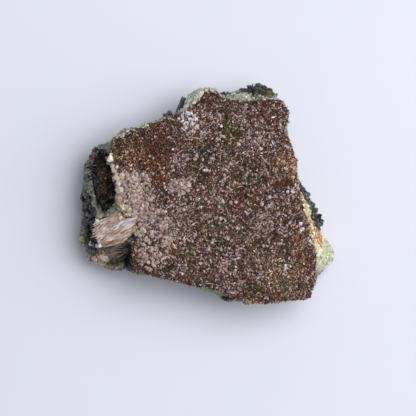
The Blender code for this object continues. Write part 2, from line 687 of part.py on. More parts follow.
def centre_on_origin(parts, cutters):
    """Hang every piece on an empty, placed so that the base's middle is the origin."""
    graph = bpy.context.evaluated_depsgraph_get()
    corners = []
    for obj in parts.objects:
        mesh = obj.evaluated_get(graph).to_mesh()
        corners += [vert.co.copy() for vert in mesh.vertices]
    low = [min(corner[i] for corner in corners) for i in range(3)]
    high = [max(corner[i] for corner in corners) for i in range(3)]
    anchor = bpy.data.objects.new("specimen", None)
    anchor.location = (-(low[0] + high[0]) / 2, -(low[1] + high[1]) / 2, -low[2])
    for obj in [*parts.objects, *cutters.objects]:
        obj.parent = anchor
    parts.objects.link(anchor)


def main():
    """Build the specimen."""
    clear_scene()
    parts = new_collection("epidote_crystal_cluster")
    cutters = new_collection("cutters")
    rock = make_rock(parts, cutters)
    combine(rock, bed_solid("above_bed", -GAP / 2, True, cutters), "DIFFERENCE")
    under_bed = bed_solid("under_bed", GAP / 2, False, cutters)
    make_druse(parts, under_bed)
    envelope = prism(grown(DRUSE, DRUSE_CLEARANCE), BED_HEIGHT - DRUSE_CLEARANCE_DEPTH, SEAT_TOP)
    clear_of_druse = mark_cutter(add_object("druse_envelope", envelope, cutters))
    make_ledge(parts, clear_of_druse)
    make_pocket(parts, cutters)
    for name, outline, bottom in (("ledge_seat", LEDGE, LEDGE_BOTTOM), ("pocket_seat", POCKET, POCKET_FLOOR)):
        seat = prism(grown(outline, SEAT_CLEARANCE), bottom - GAP, SEAT_TOP)
        combine(rock, mark_cutter(add_object(name, seat, cutters)), "DIFFERENCE")
    make_clusters(parts, cutters, rock, clear_of_druse)
    for name, material in finishes().items():
        bpy.data.objects[name].data.materials.append(material)
    centre_on_origin(parts, cutters)


main()
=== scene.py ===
"""Looks of an epidote crystal cluster: pale rock, a druse of small grains, a fibrous ledge and dark blades."""

import logging
import math
from dataclasses import dataclass, field
from enum import Enum

import bmesh
import bpy
import numpy as np
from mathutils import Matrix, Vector, noise
from mathutils.bvhtree import BVHTree


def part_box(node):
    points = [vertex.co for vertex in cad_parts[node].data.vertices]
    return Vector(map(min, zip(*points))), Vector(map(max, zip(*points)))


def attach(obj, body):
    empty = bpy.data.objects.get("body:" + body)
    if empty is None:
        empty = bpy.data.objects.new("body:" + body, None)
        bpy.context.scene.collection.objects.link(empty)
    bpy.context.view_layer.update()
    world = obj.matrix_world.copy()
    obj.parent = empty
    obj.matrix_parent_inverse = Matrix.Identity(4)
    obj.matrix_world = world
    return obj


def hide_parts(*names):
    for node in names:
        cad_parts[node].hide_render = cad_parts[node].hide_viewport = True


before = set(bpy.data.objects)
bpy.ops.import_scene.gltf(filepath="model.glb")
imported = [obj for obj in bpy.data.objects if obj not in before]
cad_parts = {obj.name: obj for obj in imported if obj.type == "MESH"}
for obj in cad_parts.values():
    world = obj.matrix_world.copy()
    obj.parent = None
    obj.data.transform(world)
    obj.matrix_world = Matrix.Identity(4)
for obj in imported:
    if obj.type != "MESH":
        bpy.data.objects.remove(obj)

MM = 0.001
BODY = "root"
BAKE_MAP = "OFBake"
TINT = "tint"
ABOVE_MM = 60.0

Colour = tuple[float, float, float]
log = logging.getLogger("epidote_cluster")


class Mineral(Enum):
    """What a druse grain is made of; the value is its usual colour, as sRGB from 0 to 255."""

    BRICK = (132, 78, 60)
    RED_BROWN = (108, 68, 56)
    MAROON = (98, 60, 58)
    PINK = (190, 162, 154)
    LILAC = (178, 162, 166)
    WHITE = (222, 214, 212)
    CREAM = (182, 160, 132)
    ORANGE = (168, 114, 78)
    OLIVE = (104, 92, 64)
    GREEN = (76, 78, 58)
    BLACK = (48, 40, 36)


class Form(Enum):
    """The shape of a grain."""

    GARNET = "garnet"
    BLOCK = "block"
    SHARD = "shard"
    PRISM = "prism"
    BLADE = "blade"
    SPLINTER = "splinter"


def linear(colour: Colour) -> np.ndarray:
    """Turn an sRGB colour from 0 to 255 into linear numbers.

    Args:
        colour: red, green and blue.

    Returns:
        The three linear numbers.
    """
    share = np.asarray(colour, float) / 255.0
    return np.where(share <= 0.04045, share / 12.92, ((share + 0.055) / 1.055) ** 2.4)


@dataclass(frozen=True)
class PhotoScale:
    """Where a point of the photograph lies in the row frame."""

    mm_per_px: float = 0.35
    zero_x: float = 207.03
    zero_y: float = 193.59

    def to_mm(self, x: float, y: float) -> tuple[float, float]:
        """Place of a pixel, in millimetres."""
        return (x - self.zero_x) * self.mm_per_px, (self.zero_y - y) * self.mm_per_px

    def to_px(self, places: np.ndarray) -> np.ndarray:
        """Pixels of places in millimetres, one row each."""
        return np.stack([places[:, 0], -places[:, 1]], 1) / self.mm_per_px + (self.zero_x, self.zero_y)


PHOTO = PhotoScale()


@dataclass(frozen=True)
class Patch:
    """An oval patch of the specimen as seen from above: centre, half sizes and turn, in pixels and degrees."""

    x: float
    y: float
    wide: float
    high: float
    turn: float = 0.0
    soft: float = 0.45
    weight: float = 1.0

    @property
    def axes(self) -> np.ndarray:
        """The patch's long and short directions, one row each."""
        angle = math.radians(self.turn)
        return np.array([(math.cos(angle), math.sin(angle)), (-math.sin(angle), math.cos(angle))])

    def cover(self, pixels: np.ndarray) -> np.ndarray:
        """How much of the patch each pixel gets, from 0 to its weight.

        Args:
            pixels: one row of x and y for each point.

        Returns:
            One number for each point.
        """
        reach = np.linalg.norm((pixels - (self.x, self.y)) @ self.axes.T / (self.wide, self.high), axis=1)
        share = np.clip((1 + self.soft - reach) / (2 * self.soft), 0, 1)
        return self.weight * share * share * (3 - 2 * share)

    def spots(self, count: int, rng: np.random.Generator) -> np.ndarray:
        """Random places in the patch.

        Args:
            count: how many.
            rng: source of the places.

        Returns:
            One row of x and y for each, in millimetres.
        """
        turn = rng.uniform(0, 2 * math.pi, count)
        out = np.sqrt(rng.uniform(0, 1, count))
        flat = np.stack([out * np.cos(turn) * self.wide, out * np.sin(turn) * self.high], 1) @ self.axes
        return np.stack(PHOTO.to_mm(flat[:, 0] + self.x, flat[:, 1] + self.y), 1)


@dataclass(frozen=True)
class MineralPatch:
    """A patch of the druse and its mix of minerals."""

    patch: Patch
    mix: dict[Mineral, float]


@dataclass(frozen=True)
class TintPatch:
    """A patch of the rock and its colour, as sRGB from 0 to 255."""

    patch: Patch
    colour: Colour


class Fields:
    """Noise over many points at once, with places in millimetres."""

    @staticmethod
    def lumps(points: np.ndarray, size: float, seed: float, octaves: int = 3) -> np.ndarray:
        """Smooth noise from about -1 to 1.

        Args:
            points: one row for each place.
            size: length of the largest lumps.
            seed: offset that sets one field apart from another.
            octaves: how many finer layers there are.

        Returns:
            One number for each place.
        """
        shift = Vector((seed, 3.7 * seed, -1.9 * seed))
        return np.array([noise.fractal(Vector(row) + shift, 0.8, 2.1, octaves) for row in (points / size).tolist()])

    @staticmethod
    def cells(points: np.ndarray, size: float, seed: float) -> np.ndarray:
        """Distance to the nearest of scattered cores, as chips and pits have it.

        Args:
            points: one row for each place.
            size: usual distance between cores.
            seed: offset that sets one field apart from another.

        Returns:
            One number for each place, about 0 to 1.
        """
        shift = Vector((seed, 2.3 * seed, -1.1 * seed))
        return np.array([noise.voronoi(Vector(row) + shift)[0][0] for row in (points / size).tolist()])


class MeshWork:
    """Making and reading meshes, in millimetres."""

    @staticmethod
    def add(name: str, mesh: bpy.types.Mesh, slot: str) -> bpy.types.Object:
        """Make a piece that rides on the specimen.

        Args:
            name: the piece's name.
            mesh: its mesh, in metres.
            slot: not used.

        Returns:
            The new object.
        """
        mesh.name = name
        obj = bpy.data.objects.new(name, mesh)
        bpy.context.scene.collection.objects.link(obj)
        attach(obj, BODY)
        return obj

    @staticmethod
    def shaped(node: str, modifier: str, **settings: object) -> bpy.types.Mesh:
        """A CAD node's mesh after one modifier.

        Args:
            node: the CAD node, which is left as it is.
            modifier: the modifier's type.
            settings: the modifier's own settings.

        Returns:
            The new mesh.
        """
        source = bpy.data.objects.new(node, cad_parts[node].data.copy())
        bpy.context.scene.collection.objects.link(source)
        step = source.modifiers.new(modifier, modifier)
        for key, value in settings.items():
            setattr(step, key, value)
        graph = bpy.context.evaluated_depsgraph_get()
        mesh = bpy.data.meshes.new_from_object(source.evaluated_get(graph))
        bpy.data.objects.remove(source)
        mesh.materials.clear()
        return mesh

    @staticmethod
    def skin(name: str, node: str, voxel_mm: float, slot: str) -> bpy.types.Object:
        """Make an even skin that stands for a CAD node.

        Args:
            name: the new piece's name.
            node: the CAD node that it replaces.
            voxel_mm: length of the skin's faces.
            slot: the record's material slot.

        Returns:
            The new object.
        """
        mesh = MeshWork.shaped(node, "REMESH", mode="VOXEL", voxel_size=voxel_mm * MM)
        mesh.shade_smooth()
        obj = MeshWork.add(name, mesh, slot)
        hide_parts(node)
        return obj

    @staticmethod
    def points(obj: bpy.types.Object) -> np.ndarray:
        """Vertices of an object's mesh, in millimetres."""
        found = np.empty(len(obj.data.vertices) * 3, np.float32)
        obj.data.vertices.foreach_get("co", found)
        return found.reshape(-1, 3).astype(float) / MM

    @staticmethod
    def normals(obj: bpy.types.Object) -> np.ndarray:
        """Vertex normals of an object's mesh."""
        found = np.empty(len(obj.data.vertices) * 3, np.float32)
        obj.data.vertex_normals.foreach_get("vector", found)
        return found.reshape(-1, 3).astype(float)

    @staticmethod
    def move(obj: bpy.types.Object, points: np.ndarray) -> None:
        """Put an object's vertices at points in millimetres."""
        obj.data.vertices.foreach_set("co", (points * MM).astype(np.float32).ravel())
        obj.data.update()

    @staticmethod
    def tint(obj: bpy.types.Object, colours: np.ndarray) -> None:
        """Store one linear colour for each vertex, which the materials read."""
        layer = obj.data.color_attributes.new(TINT, "FLOAT_COLOR", "POINT")
        rows = np.ones((len(colours), 4), np.float32)
        rows[:, :3] = np.clip(colours, 0.003, 1)
        layer.data.foreach_set("color", rows.ravel())

    @staticmethod
    def triangles(obj: bpy.types.Object) -> np.ndarray:
        """Corners of an object's triangles, in millimetres."""
        obj.data.calc_loop_triangles()
        index = np.empty(len(obj.data.loop_triangles) * 3, np.int32)
        obj.data.loop_triangles.foreach_get("vertices", index)
        return MeshWork.points(obj)[index.reshape(-1, 3)]


class Ground:
    """Surfaces on which grains are stood."""

    def __init__(self, *objects: bpy.types.Object) -> None:
        """Take in the surfaces.

        Args:
            objects: the pieces whose surfaces count.
        """
        self.corners = np.concatenate([MeshWork.triangles(obj) for obj in objects])
        rows = np.arange(len(self.corners) * 3).reshape(-1, 3)
        self.tree = BVHTree.FromPolygons(self.corners.reshape(-1, 3).tolist(), rows.tolist())

    def below(self, spots: np.ndarray, highest: float = ABOVE_MM) -> tuple[np.ndarray, np.ndarray]:
        """Drop spots straight down onto the ground.

        Args:
            spots: one row of x and y for each.
            highest: spots that land above this height are left out.

        Returns:
            Places and the surface's directions there.
        """
        places, ways = [], []
        for x, y in spots:
            hit, way, _, _ = self.tree.ray_cast(Vector((x, y, ABOVE_MM)), Vector((0, 0, -1)))
            if hit is not None and hit.z <= highest:
                places.append(hit[:])
                ways.append(way[:])
        return np.array(places).reshape(-1, 3), np.array(ways).reshape(-1, 3)

    def over(self, count: int, steepest: float, lowest: float, rng: np.random.Generator) -> tuple[np.ndarray, np.ndarray]:
        """Scatter places over the ground's faces.

        Args:
            count: how many places.
            steepest: only faces whose direction's height is below this count.
            lowest: only faces above this height count.
            rng: source of the places.

        Returns:
            Places and the surface's directions there.
        """
        corners = self.corners
        across = np.cross(corners[:, 1] - corners[:, 0], corners[:, 2] - corners[:, 0])
        area = np.linalg.norm(across, axis=1)
        ways = across / np.maximum(area, 1e-9)[:, None]
        area = area * (ways[:, 2] < steepest) * (corners[:, :, 2].min(1) > lowest)
        chosen = rng.choice(len(area), count, p=area / area.sum())
        share = rng.uniform(0, 1, (count, 2))
        share = np.where(share.sum(1)[:, None] > 1, 1 - share, share)
        first, second, third = (corners[chosen, i] for i in range(3))
        places = first + share[:, :1] * (second - first) + share[:, 1:] * (third - first)
        return places, ways[chosen]


@dataclass(frozen=True)
class Template:
    """One grain shape about the origin, about 1 across: its points and triangles."""

    points: np.ndarray
    faces: np.ndarray

    @staticmethod
    def hull(points: np.ndarray) -> "Template":
        """The closed shape round some points.

        Args:
            points: one row for each point.

        Returns:
            The template.
        """
        form = bmesh.new()
        for row in points:
            form.verts.new(row)
        found = bmesh.ops.convex_hull(form, input=form.verts)
        loose = [item for item in found["geom_interior"] if isinstance(item, bmesh.types.BMVert)]
        bmesh.ops.delete(form, geom=loose, context="VERTS")
        bmesh.ops.triangulate(form, faces=form.faces)
        bmesh.ops.recalc_face_normals(form, faces=form.faces)
        form.verts.index_update()
        kept = np.array([vert.co[:] for vert in form.verts])
        faces = np.array([[vert.index for vert in face.verts] for face in form.faces])
        form.free()
        return Template(kept, faces)

    @staticmethod
    def column(rng: np.random.Generator, sides: int, length: float, flat: float, tip: float) -> "Template":
        """A column along Z, with slanted or pointed ends.

        Args:
            rng: source of small differences.
            sides: how many sides it has.
            length: its length over its width.
            flat: its thickness over its width.
            tip: how far its points stand out, over its width.

        Returns:
            The template.
        """
        points = []
        for end in (-0.5, 0.5):
            lean = rng.uniform(-0.5, 0.5, 2)
            for i in range(sides):
                angle = 2 * math.pi * (i + rng.uniform(-0.15, 0.15)) / sides
                x, y = 0.5 * math.cos(angle), 0.5 * flat * math.sin(angle)
                points.append((x, y, end * length + lean[0] * x + lean[1] * y))
            if tip:
                points.append((*rng.uniform(-0.15, 0.15, 2), end * (length + 2 * tip)))
        return Template.hull(np.array(points))

    @staticmethod
    def of(form: Form, rng: np.random.Generator) -> "Template":
        """Make a template of a form, with small differences.

        Args:
            form: the grain's form.
            rng: source of the differences.

        Returns:
            The template.
        """
        cube = np.array([(x, y, z) for x in (-1, 1) for y in (-1, 1) for z in (-1, 1)], float)
        if form is Form.GARNET:
            tips = 2.0 * np.concatenate([np.eye(3), -np.eye(3)])
            points = np.concatenate([cube, tips]) / 3.4
            return Template.hull(points * rng.uniform(0.88, 1.12, points.shape))
        if form is Form.BLOCK:
            return Template.hull(cube / 2.1 * rng.uniform(0.6, 1.1, cube.shape))
        if form is Form.SHARD:
            return Template.column(rng, 4, 0.0, 0.8, 0.55)
        if form is Form.PRISM:
            return Template.column(rng, 6, 1.0, 0.75, 0.0)
        if form is Form.BLADE:
            return Template.column(rng, 6, 1.0, 0.5, 0.12)
        return Template.column(rng, 4, 1.0, 0.8, 0.3)


@dataclass
class Lot:
    """Grains alike in form: where each is, how it is turned, its size and its colour."""

    form: Form
    places: np.ndarray
    turns: np.ndarray
    sizes: np.ndarray
    colours: np.ndarray


class GrainMesh:
    """Lots of grains joined in one piece, each with its own cell of the bake map."""

    kinds: int = 5

    def __init__(self, seed: int) -> None:
        """Start without grains.

        Args:
            seed: sets the small differences.
        """
        self.rng = np.random.default_rng(seed)
        self.lots: list[Lot] = []

    def build(self, name: str, slot: str) -> bpy.types.Object:
        """Join the lots.

        Args:
            name: the piece's name.
            slot: the record's material slot.

        Returns:
            The new object.
        """
        total = sum(len(lot.places) for lot in self.lots)
        across = math.ceil(math.sqrt(total))
        points, faces, colours, maps = [], [], [], []
        count = cell_start = 0
        for lot in self.lots:
            kinds = self.rng.integers(0, self.kinds, len(lot.places))
            for kind in range(self.kinds):
                template = Template.of(lot.form, self.rng)
                chosen = np.flatnonzero(kinds == kind)
                shaped = template.points[None] * lot.sizes[chosen, None]
                shaped = np.einsum("nij,nvj->nvi", lot.turns[chosen], shaped)
                points.append((shaped + lot.places[chosen, None]).reshape(-1, 3))
                starts = count + np.arange(len(chosen)) * len(template.points)
                faces.append((template.faces[None] + starts[:, None, None]).reshape(-1, 3))
                colours.append(np.repeat(lot.colours[chosen], len(template.points), axis=0))
                number = cell_start + chosen
                cell = np.stack([number % across, number // across], 1)
                maps.append(((cell[:, None, None] + self.flattened(template)[None]) / across).reshape(-1, 2))
                count += len(chosen) * len(template.points)
            cell_start += len(lot.places)
        mesh = bpy.data.meshes.new(name)
        mesh.from_pydata((np.concatenate(points) * MM).tolist(), [], np.concatenate(faces).tolist())
        obj = MeshWork.add(name, mesh, slot)
        MeshWork.tint(obj, np.concatenate(colours))
        layer = mesh.uv_layers.new(name=BAKE_MAP)
        layer.uv.foreach_set("vector", np.concatenate(maps).astype(np.float32).ravel())
        log.info("%s: %d grains, %d faces", name, total, len(mesh.polygons))
        return obj

    @staticmethod
    def flattened(template: Template) -> np.ndarray:
        """Lay a grain's triangles out in one cell.

        Args:
            template: the grain's shape.

        Returns:
            Two numbers from 0 to 1 for each corner of each triangle.
        """
        corners = template.points[template.faces]
        facing = np.cross(corners[:, 1] - corners[:, 0], corners[:, 2] - corners[:, 0])
        low, high = corners.reshape(-1, 3).min(0), corners.reshape(-1, 3).max(0)
        unit = (corners - low) / (high - low)
        spread = np.stack([0.06 + 0.4 * unit[..., 0], 0.06 + 0.88 * unit[..., 1]], 2)
        spread[facing[:, 2] < 0, :, 0] += 0.48
        return spread


def turns_towards(ways: np.ndarray, lean: float, rng: np.random.Generator) -> np.ndarray:
    """Turns that bring +Z near each way, leaning at random and spun at random.

    Args:
        ways: one unit row for each grain.
        lean: usual size of the random lean, from 0 for none.
        rng: source of the leans and spins.

    Returns:
        One 3 by 3 matrix for each grain.
    """
    up = ways + lean * rng.normal(size=ways.shape)
    up /= np.linalg.norm(up, axis=1)[:, None]
    side = np.cross(up, rng.normal(size=ways.shape))
    side /= np.linalg.norm(side, axis=1)[:, None]
    return np.stack([side, np.cross(up, side), up], 2)


@dataclass(frozen=True)
class Growth:
    """Grains of one kind that grow inside some patches, seen from above."""

    form: Form
    count: int
    size: tuple[float, float]
    colours: tuple[Colour, ...]
    patches: tuple[Patch, ...]
    stretch: Colour = (1.0, 1.0, 1.0)
    lean: float = 0.8
    heading: float | None = None
    sink: float = 0.1
    highest: float = ABOVE_MM
    shade: tuple[float, float] = (0.7, 1.25)

    def lot(self, ground: Ground, rng: np.random.Generator) -> Lot:
        """Stand the grains on the ground.

        Args:
            ground: the surfaces that carry them.
            rng: source of places, sizes and colours.

        Returns:
            The grains.
        """
        area = np.array([patch.wide * patch.high for patch in self.patches])
        counts = rng.multinomial(self.count, area / area.sum())
        spots = np.concatenate([patch.spots(count, rng) for patch, count in zip(self.patches, counts)])
        places, ways = ground.below(spots, self.highest)
        count = len(places)
        sizes = rng.uniform(*self.size, (count, 1)) * np.array(self.stretch) * rng.uniform(0.8, 1.2, (count, 3))
        up = ways
        if self.heading is not None:
            angle = math.radians(self.heading)
            up = np.repeat([(math.cos(angle), math.sin(angle), 0.05)], count, axis=0)
        palette = np.array([linear(colour) for colour in self.colours])
        tone = palette[rng.integers(0, len(palette), count)] * rng.uniform(*self.shade, (count, 1))
        places = places + ways * ((0.5 - self.sink) * sizes.min(1))[:, None]
        return Lot(self.form, places, turns_towards(up, self.lean, rng), sizes, tone * rng.uniform(0.95, 1.05, (count, 3)))


class Nodes:
    """A short way to place and join shader nodes in one tree."""

    def __init__(self, tree: bpy.types.NodeTree) -> None:
        """Keep the tree that the nodes go in."""
        self.tree = tree

    def fill(self, node: bpy.types.Node, values: dict) -> bpy.types.Node:
        """Give a node's inputs their values or join them to sockets."""
        for key, value in values.items():
            if isinstance(value, bpy.types.NodeSocket):
                self.tree.links.new(value, node.inputs[key])
            else:
                node.inputs[key].default_value = value
        return node

    def add(self, kind: str, values: dict | None = None, **settings: object) -> bpy.types.Node:
        """Place a node.

        Args:
            kind: the node's type, without its ShaderNode prefix.
            values: input values, or output sockets to join, by input name or number.
            settings: the node's own settings.

        Returns:
            The node.
        """
        node = self.tree.nodes.new(f"ShaderNode{kind}")
        for key, value in settings.items():
            setattr(node, key, value)
        return self.fill(node, values or {})

    def maths(self, operation: str, *values: object) -> bpy.types.NodeSocket:
        """Do one sum with numbers or sockets."""
        return self.add("Math", dict(enumerate(values)), operation=operation).outputs[0]

    def blend(self, share: object, first: object, second: object, way: str = "MIX") -> bpy.types.NodeSocket:
        """Mix two colours.

        Args:
            share: how much of the second there is, a number or a socket.
            first: a colour or a socket.
            second: a colour or a socket.
            way: the blend type.

        Returns:
            The mixed colour's socket.
        """
        node = self.add("Mix", {0: share, 6: first, 7: second}, data_type="RGBA", blend_type=way)
        return node.outputs[2]

    def fit(self, value: bpy.types.NodeSocket, source: tuple[float, float], target: tuple[float, float]) -> bpy.types.NodeSocket:
        """Stretch a value from one range to another, with its ends held."""
        values = {0: value, 1: source[0], 2: source[1], 3: target[0], 4: target[1]}
        return self.add("MapRange", values).outputs[0]


class Effects:
    """Shader groups that more than one finish uses."""

    built: dict[str, bpy.types.NodeTree] = {}

    @classmethod
    def speckle(cls) -> bpy.types.NodeTree:
        """Natural mottling of a mineral: a colour with light, dark and pale specks, and a height for bumps.

        Returns:
            The group.
        """
        if "speckle" in cls.built:
            return cls.built["speckle"]
        tree = bpy.data.node_groups.new("mineral speckle", "ShaderNodeTree")
        face = tree.interface
        face.new_socket("Colour", in_out="INPUT", socket_type="NodeSocketColor")
        for name in ("Size", "Contrast", "Dark specks", "Pale specks"):
            face.new_socket(name, in_out="INPUT", socket_type="NodeSocketFloat")
        face.new_socket("Colour", in_out="OUTPUT", socket_type="NodeSocketColor")
        face.new_socket("Height", in_out="OUTPUT", socket_type="NodeSocketFloat")
        nodes = Nodes(tree)
        inside = tree.nodes.new("NodeGroupInput").outputs
        place = nodes.add("TexCoord").outputs["Object"]
        fine = nodes.add("TexNoise", {"Vector": place, "Scale": inside["Size"], "Detail": 4.0, "Roughness": 0.65})
        wide = nodes.maths("MULTIPLY", inside["Size"], 0.31)
        coarse = nodes.add("TexNoise", {"Vector": place, "Scale": wide, "Detail": 2.0})
        cells = nodes.add("TexVoronoi", {"Vector": place, "Scale": inside["Size"]})
        shade = nodes.fit(fine.outputs["Fac"], (0.3, 0.7), (-1.0, 1.0))
        shade = nodes.maths("MULTIPLY_ADD", shade, inside["Contrast"], 1.0)
        grey = nodes.add("CombineColor", {0: shade, 1: shade, 2: shade}).outputs[0]
        colour = nodes.blend(1.0, inside["Colour"], grey, "MULTIPLY")
        dark = nodes.maths("MULTIPLY", nodes.fit(coarse.outputs["Fac"], (0.62, 0.7), (0.0, 1.0)), inside["Dark specks"])
        colour = nodes.blend(dark, colour, (0.03, 0.028, 0.02, 1.0))
        pale = nodes.maths("MULTIPLY", nodes.fit(cells.outputs["Distance"], (0.08, 0.16), (1.0, 0.0)), inside["Pale specks"])
        colour = nodes.blend(pale, colour, (0.6, 0.57, 0.53, 1.0))
        out = tree.nodes.new("NodeGroupOutput")
        tree.links.new(colour, out.inputs["Colour"])
        height = nodes.maths("ADD", fine.outputs["Fac"], cells.outputs["Distance"])
        tree.links.new(height, out.inputs["Height"])
        cls.built["speckle"] = tree
        return tree


@dataclass(frozen=True)
class MineralFinish:
    """A mineral surface that takes its colour from the piece's tint."""

    name: str
    roughness: tuple[float, float] = (0.35, 0.6)
    speckle_size: float = 900.0
    contrast: float = 0.25
    dark_specks: float = 0.15
    pale_specks: float = 0.1
    bump: float = 0.25
    bump_depth: float = 0.08
    coat: float = 0.0
    shine: float = 0.5

    def dress(self, obj: bpy.types.Object) -> None:
        """Give a piece this finish.

        Args:
            obj: the piece.
        """
        material = bpy.data.materials.new(self.name)
        material.use_nodes = True
        tree = material.node_tree
        nodes = Nodes(tree)
        speckle = tree.nodes.new("ShaderNodeGroup")
        speckle.node_tree = Effects.speckle()
        nodes.fill(speckle, {
            "Colour": nodes.add("Attribute", attribute_name=TINT).outputs["Color"],
            "Size": self.speckle_size,
            "Contrast": self.contrast,
            "Dark specks": self.dark_specks,
            "Pale specks": self.pale_specks,
        })
        height = speckle.outputs["Height"]
        bump = nodes.add("Bump", {"Strength": self.bump, "Distance": self.bump_depth * MM, "Height": height})
        nodes.fill(tree.nodes["Principled BSDF"], {
            "Base Color": speckle.outputs["Colour"],
            "Roughness": nodes.fit(height, (0.4, 1.2), self.roughness),
            "Normal": bump.outputs[0],
            "Specular IOR Level": self.shine,
            "Coat Weight": self.coat,
            "Coat Roughness": 0.2,
        })
        obj.data.materials.clear()
        obj.data.materials.append(material)


@dataclass
class GrainStand:
    """One piece of grains: its growths, its finish and its slot."""

    name: str
    slot: str
    finish: MineralFinish
    growths: tuple[Growth, ...]
    seed: int

    def build(self, ground: Ground) -> bpy.types.Object:
        """Stand the grains on the ground.

        Args:
            ground: the surfaces that carry them.

        Returns:
            The piece.
        """
        grains = GrainMesh(self.seed)
        grains.lots = [growth.lot(ground, grains.rng) for growth in self.growths]
        obj = grains.build(self.name, self.slot)
        self.finish.dress(obj)
        return obj


@dataclass
class MatrixRock:
    """The pale slab, broken at its sides, with cream, ochre, grey-green and tan patches, and dark patches of which some
    are painted shade in the hollow and under the ledge.
    """

    voxel: float = 0.47
    lump_height: float = 0.4
    chip_height: float = 0.42
    grit_height: float = 0.2
    chip_count: int = 9000
    chip_size: tuple[float, float] = (0.28, 0.66)
    seed: int = 11
    plain: Colour = (150, 150, 136)
    finish: MineralFinish = MineralFinish("pale_broken_rock", (0.6, 0.85), 1100.0, 0.3, 0.3, 0.25, 0.5, 0.2)
    patches: tuple[TintPatch, ...] = (
        TintPatch(Patch(x=320, y=240, wide=16, high=40, turn=-25), (204, 196, 166)),
        TintPatch(Patch(x=328, y=256, wide=9, high=12), (196, 200, 172)),
        TintPatch(Patch(x=316, y=232, wide=4, high=14, turn=-20), (176, 134, 86)),
        TintPatch(Patch(x=308, y=205, wide=5, high=24, turn=-22), (204, 188, 156)),
        TintPatch(Patch(x=250, y=94, wide=34, high=8), (160, 162, 148)),
        TintPatch(Patch(x=194, y=98, wide=12, high=14), (196, 196, 182)),
        TintPatch(Patch(x=87, y=168, wide=8, high=26), (128, 134, 122)),
        TintPatch(Patch(x=104, y=180, wide=13, high=30), (62, 54, 46)),
        TintPatch(Patch(x=98, y=155, wide=9, high=5), (96, 66, 50)),
        TintPatch(Patch(x=103, y=182, wide=7, high=9), (84, 68, 54)),
        # Painted shade: near-black in the deep lower part of the hollow.
        TintPatch(Patch(x=104, y=203, wide=9, high=9), (26, 25, 24)),
        TintPatch(Patch(x=112, y=208, wide=8, high=5), (98, 104, 92)),
        TintPatch(Patch(x=90, y=202, wide=10, high=3, turn=60), (126, 128, 114)),
        TintPatch(Patch(x=87, y=206, wide=5, high=16), (38, 40, 40)),
        TintPatch(Patch(x=91, y=236, wide=8, high=22), (66, 70, 66)),
        TintPatch(Patch(x=81, y=238, wide=4, high=14), (132, 128, 110)),
        TintPatch(Patch(x=88, y=258, wide=6, high=8, turn=40), (112, 114, 98)),
        TintPatch(Patch(x=104, y=262, wide=20, high=7), (160, 146, 126)),
        TintPatch(Patch(x=102, y=258, wide=8, high=7), (162, 138, 122)),
        # Brownish-grey fibrous wall under the ledge, darkened with painted shade.
        TintPatch(Patch(x=120, y=250, wide=12, high=11), (98, 86, 78)),
        TintPatch(Patch(x=113, y=262, wide=9, high=3), (42, 46, 36)),
        # Painted shade: near-black in the cavity under the ledge.
        TintPatch(Patch(x=129, y=258, wide=5, high=15), (30, 28, 26)),
        TintPatch(Patch(x=200, y=290, wide=60, high=8, turn=12), (150, 148, 124)),
        TintPatch(Patch(x=140, y=124, wide=44, high=5, turn=-23), (160, 164, 150)),
    )

    def build(self) -> bpy.types.Object:
        """Make the rock's fine surface over its solid.

        Returns:
            The rock piece.
        """
        rock = MeshWork.skin("rock_skin", "matrix_rock", self.voxel, "pale_green_matrix")
        points = MeshWork.points(rock)
        held = np.clip(points[:, 2] / 1.2, 0, 1)
        height = self.lump_height * Fields.lumps(points, 6.0, 2.0)
        height += self.chip_height * (0.45 - Fields.cells(points, 2.6, 5.0))
        height += self.grit_height * Fields.lumps(points, 0.9, 9.0, 2)
        points += MeshWork.normals(rock) * (height * held)[:, None]
        points[:, 2] = np.maximum(points[:, 2], 0.0)
        MeshWork.move(rock, points)
        MeshWork.tint(rock, self.colours(points))
        self.finish.dress(rock)
        log.info("rock_skin: %d faces", len(rock.data.polygons))
        self.break_edges(Ground(rock))
        return rock

    def colours(self, points: np.ndarray) -> np.ndarray:
        """Colour of each place on the rock.

        Args:
            points: the places in millimetres.

        Returns:
            One linear colour for each place.
        """
        tone = np.repeat(linear(self.plain)[None], len(points), axis=0)
        pixels = PHOTO.to_px(points)
        wander = np.stack([Fields.lumps(points, 2.5, 12.0), Fields.lumps(points, 2.5, 15.0)], 1) * 2.4
        for item in self.patches:
            share = np.clip(item.patch.cover(pixels + wander), 0, 1)[:, None]
            tone = (1 - share) * tone + share * linear(item.colour)
        veins = np.clip(Fields.lumps(points, 7.0, 20.0) * 1.6, -1, 1)[:, None]
        spots = np.clip(Fields.lumps(points, 1.4, 24.0) * 1.8, -1, 1)[:, None]
        tone = tone * (1 + 0.2 * veins) * (1 + 0.3 * spots)
        green = np.clip(Fields.lumps(points, 3.0, 31.0) * 2.2 - 0.3, 0, 1)[:, None] * 0.4
        return tone * (1 - green) + green * tone.mean(1)[:, None] * (0.86, 1.05, 0.72)

    def break_edges(self, ground: Ground) -> None:
        """Cover the rock with small chips of its own colours.

        Args:
            ground: the rock's surface.
        """
        grains = GrainMesh(self.seed)
        rng = grains.rng
        places, ways = ground.over(self.chip_count, 1.1, 0.5, rng)
        sizes = rng.uniform(*self.chip_size, (len(places), 1)) * rng.uniform(0.7, 1.4, (len(places), 3))
        tone = self.colours(places) * rng.uniform(0.7, 1.35, (len(places), 1))
        grains.lots.append(Lot(Form.BLOCK, places, turns_towards(ways, 0.8, rng), sizes, tone))
        self.finish.dress(grains.build("rock_chips", "pale_green_matrix"))


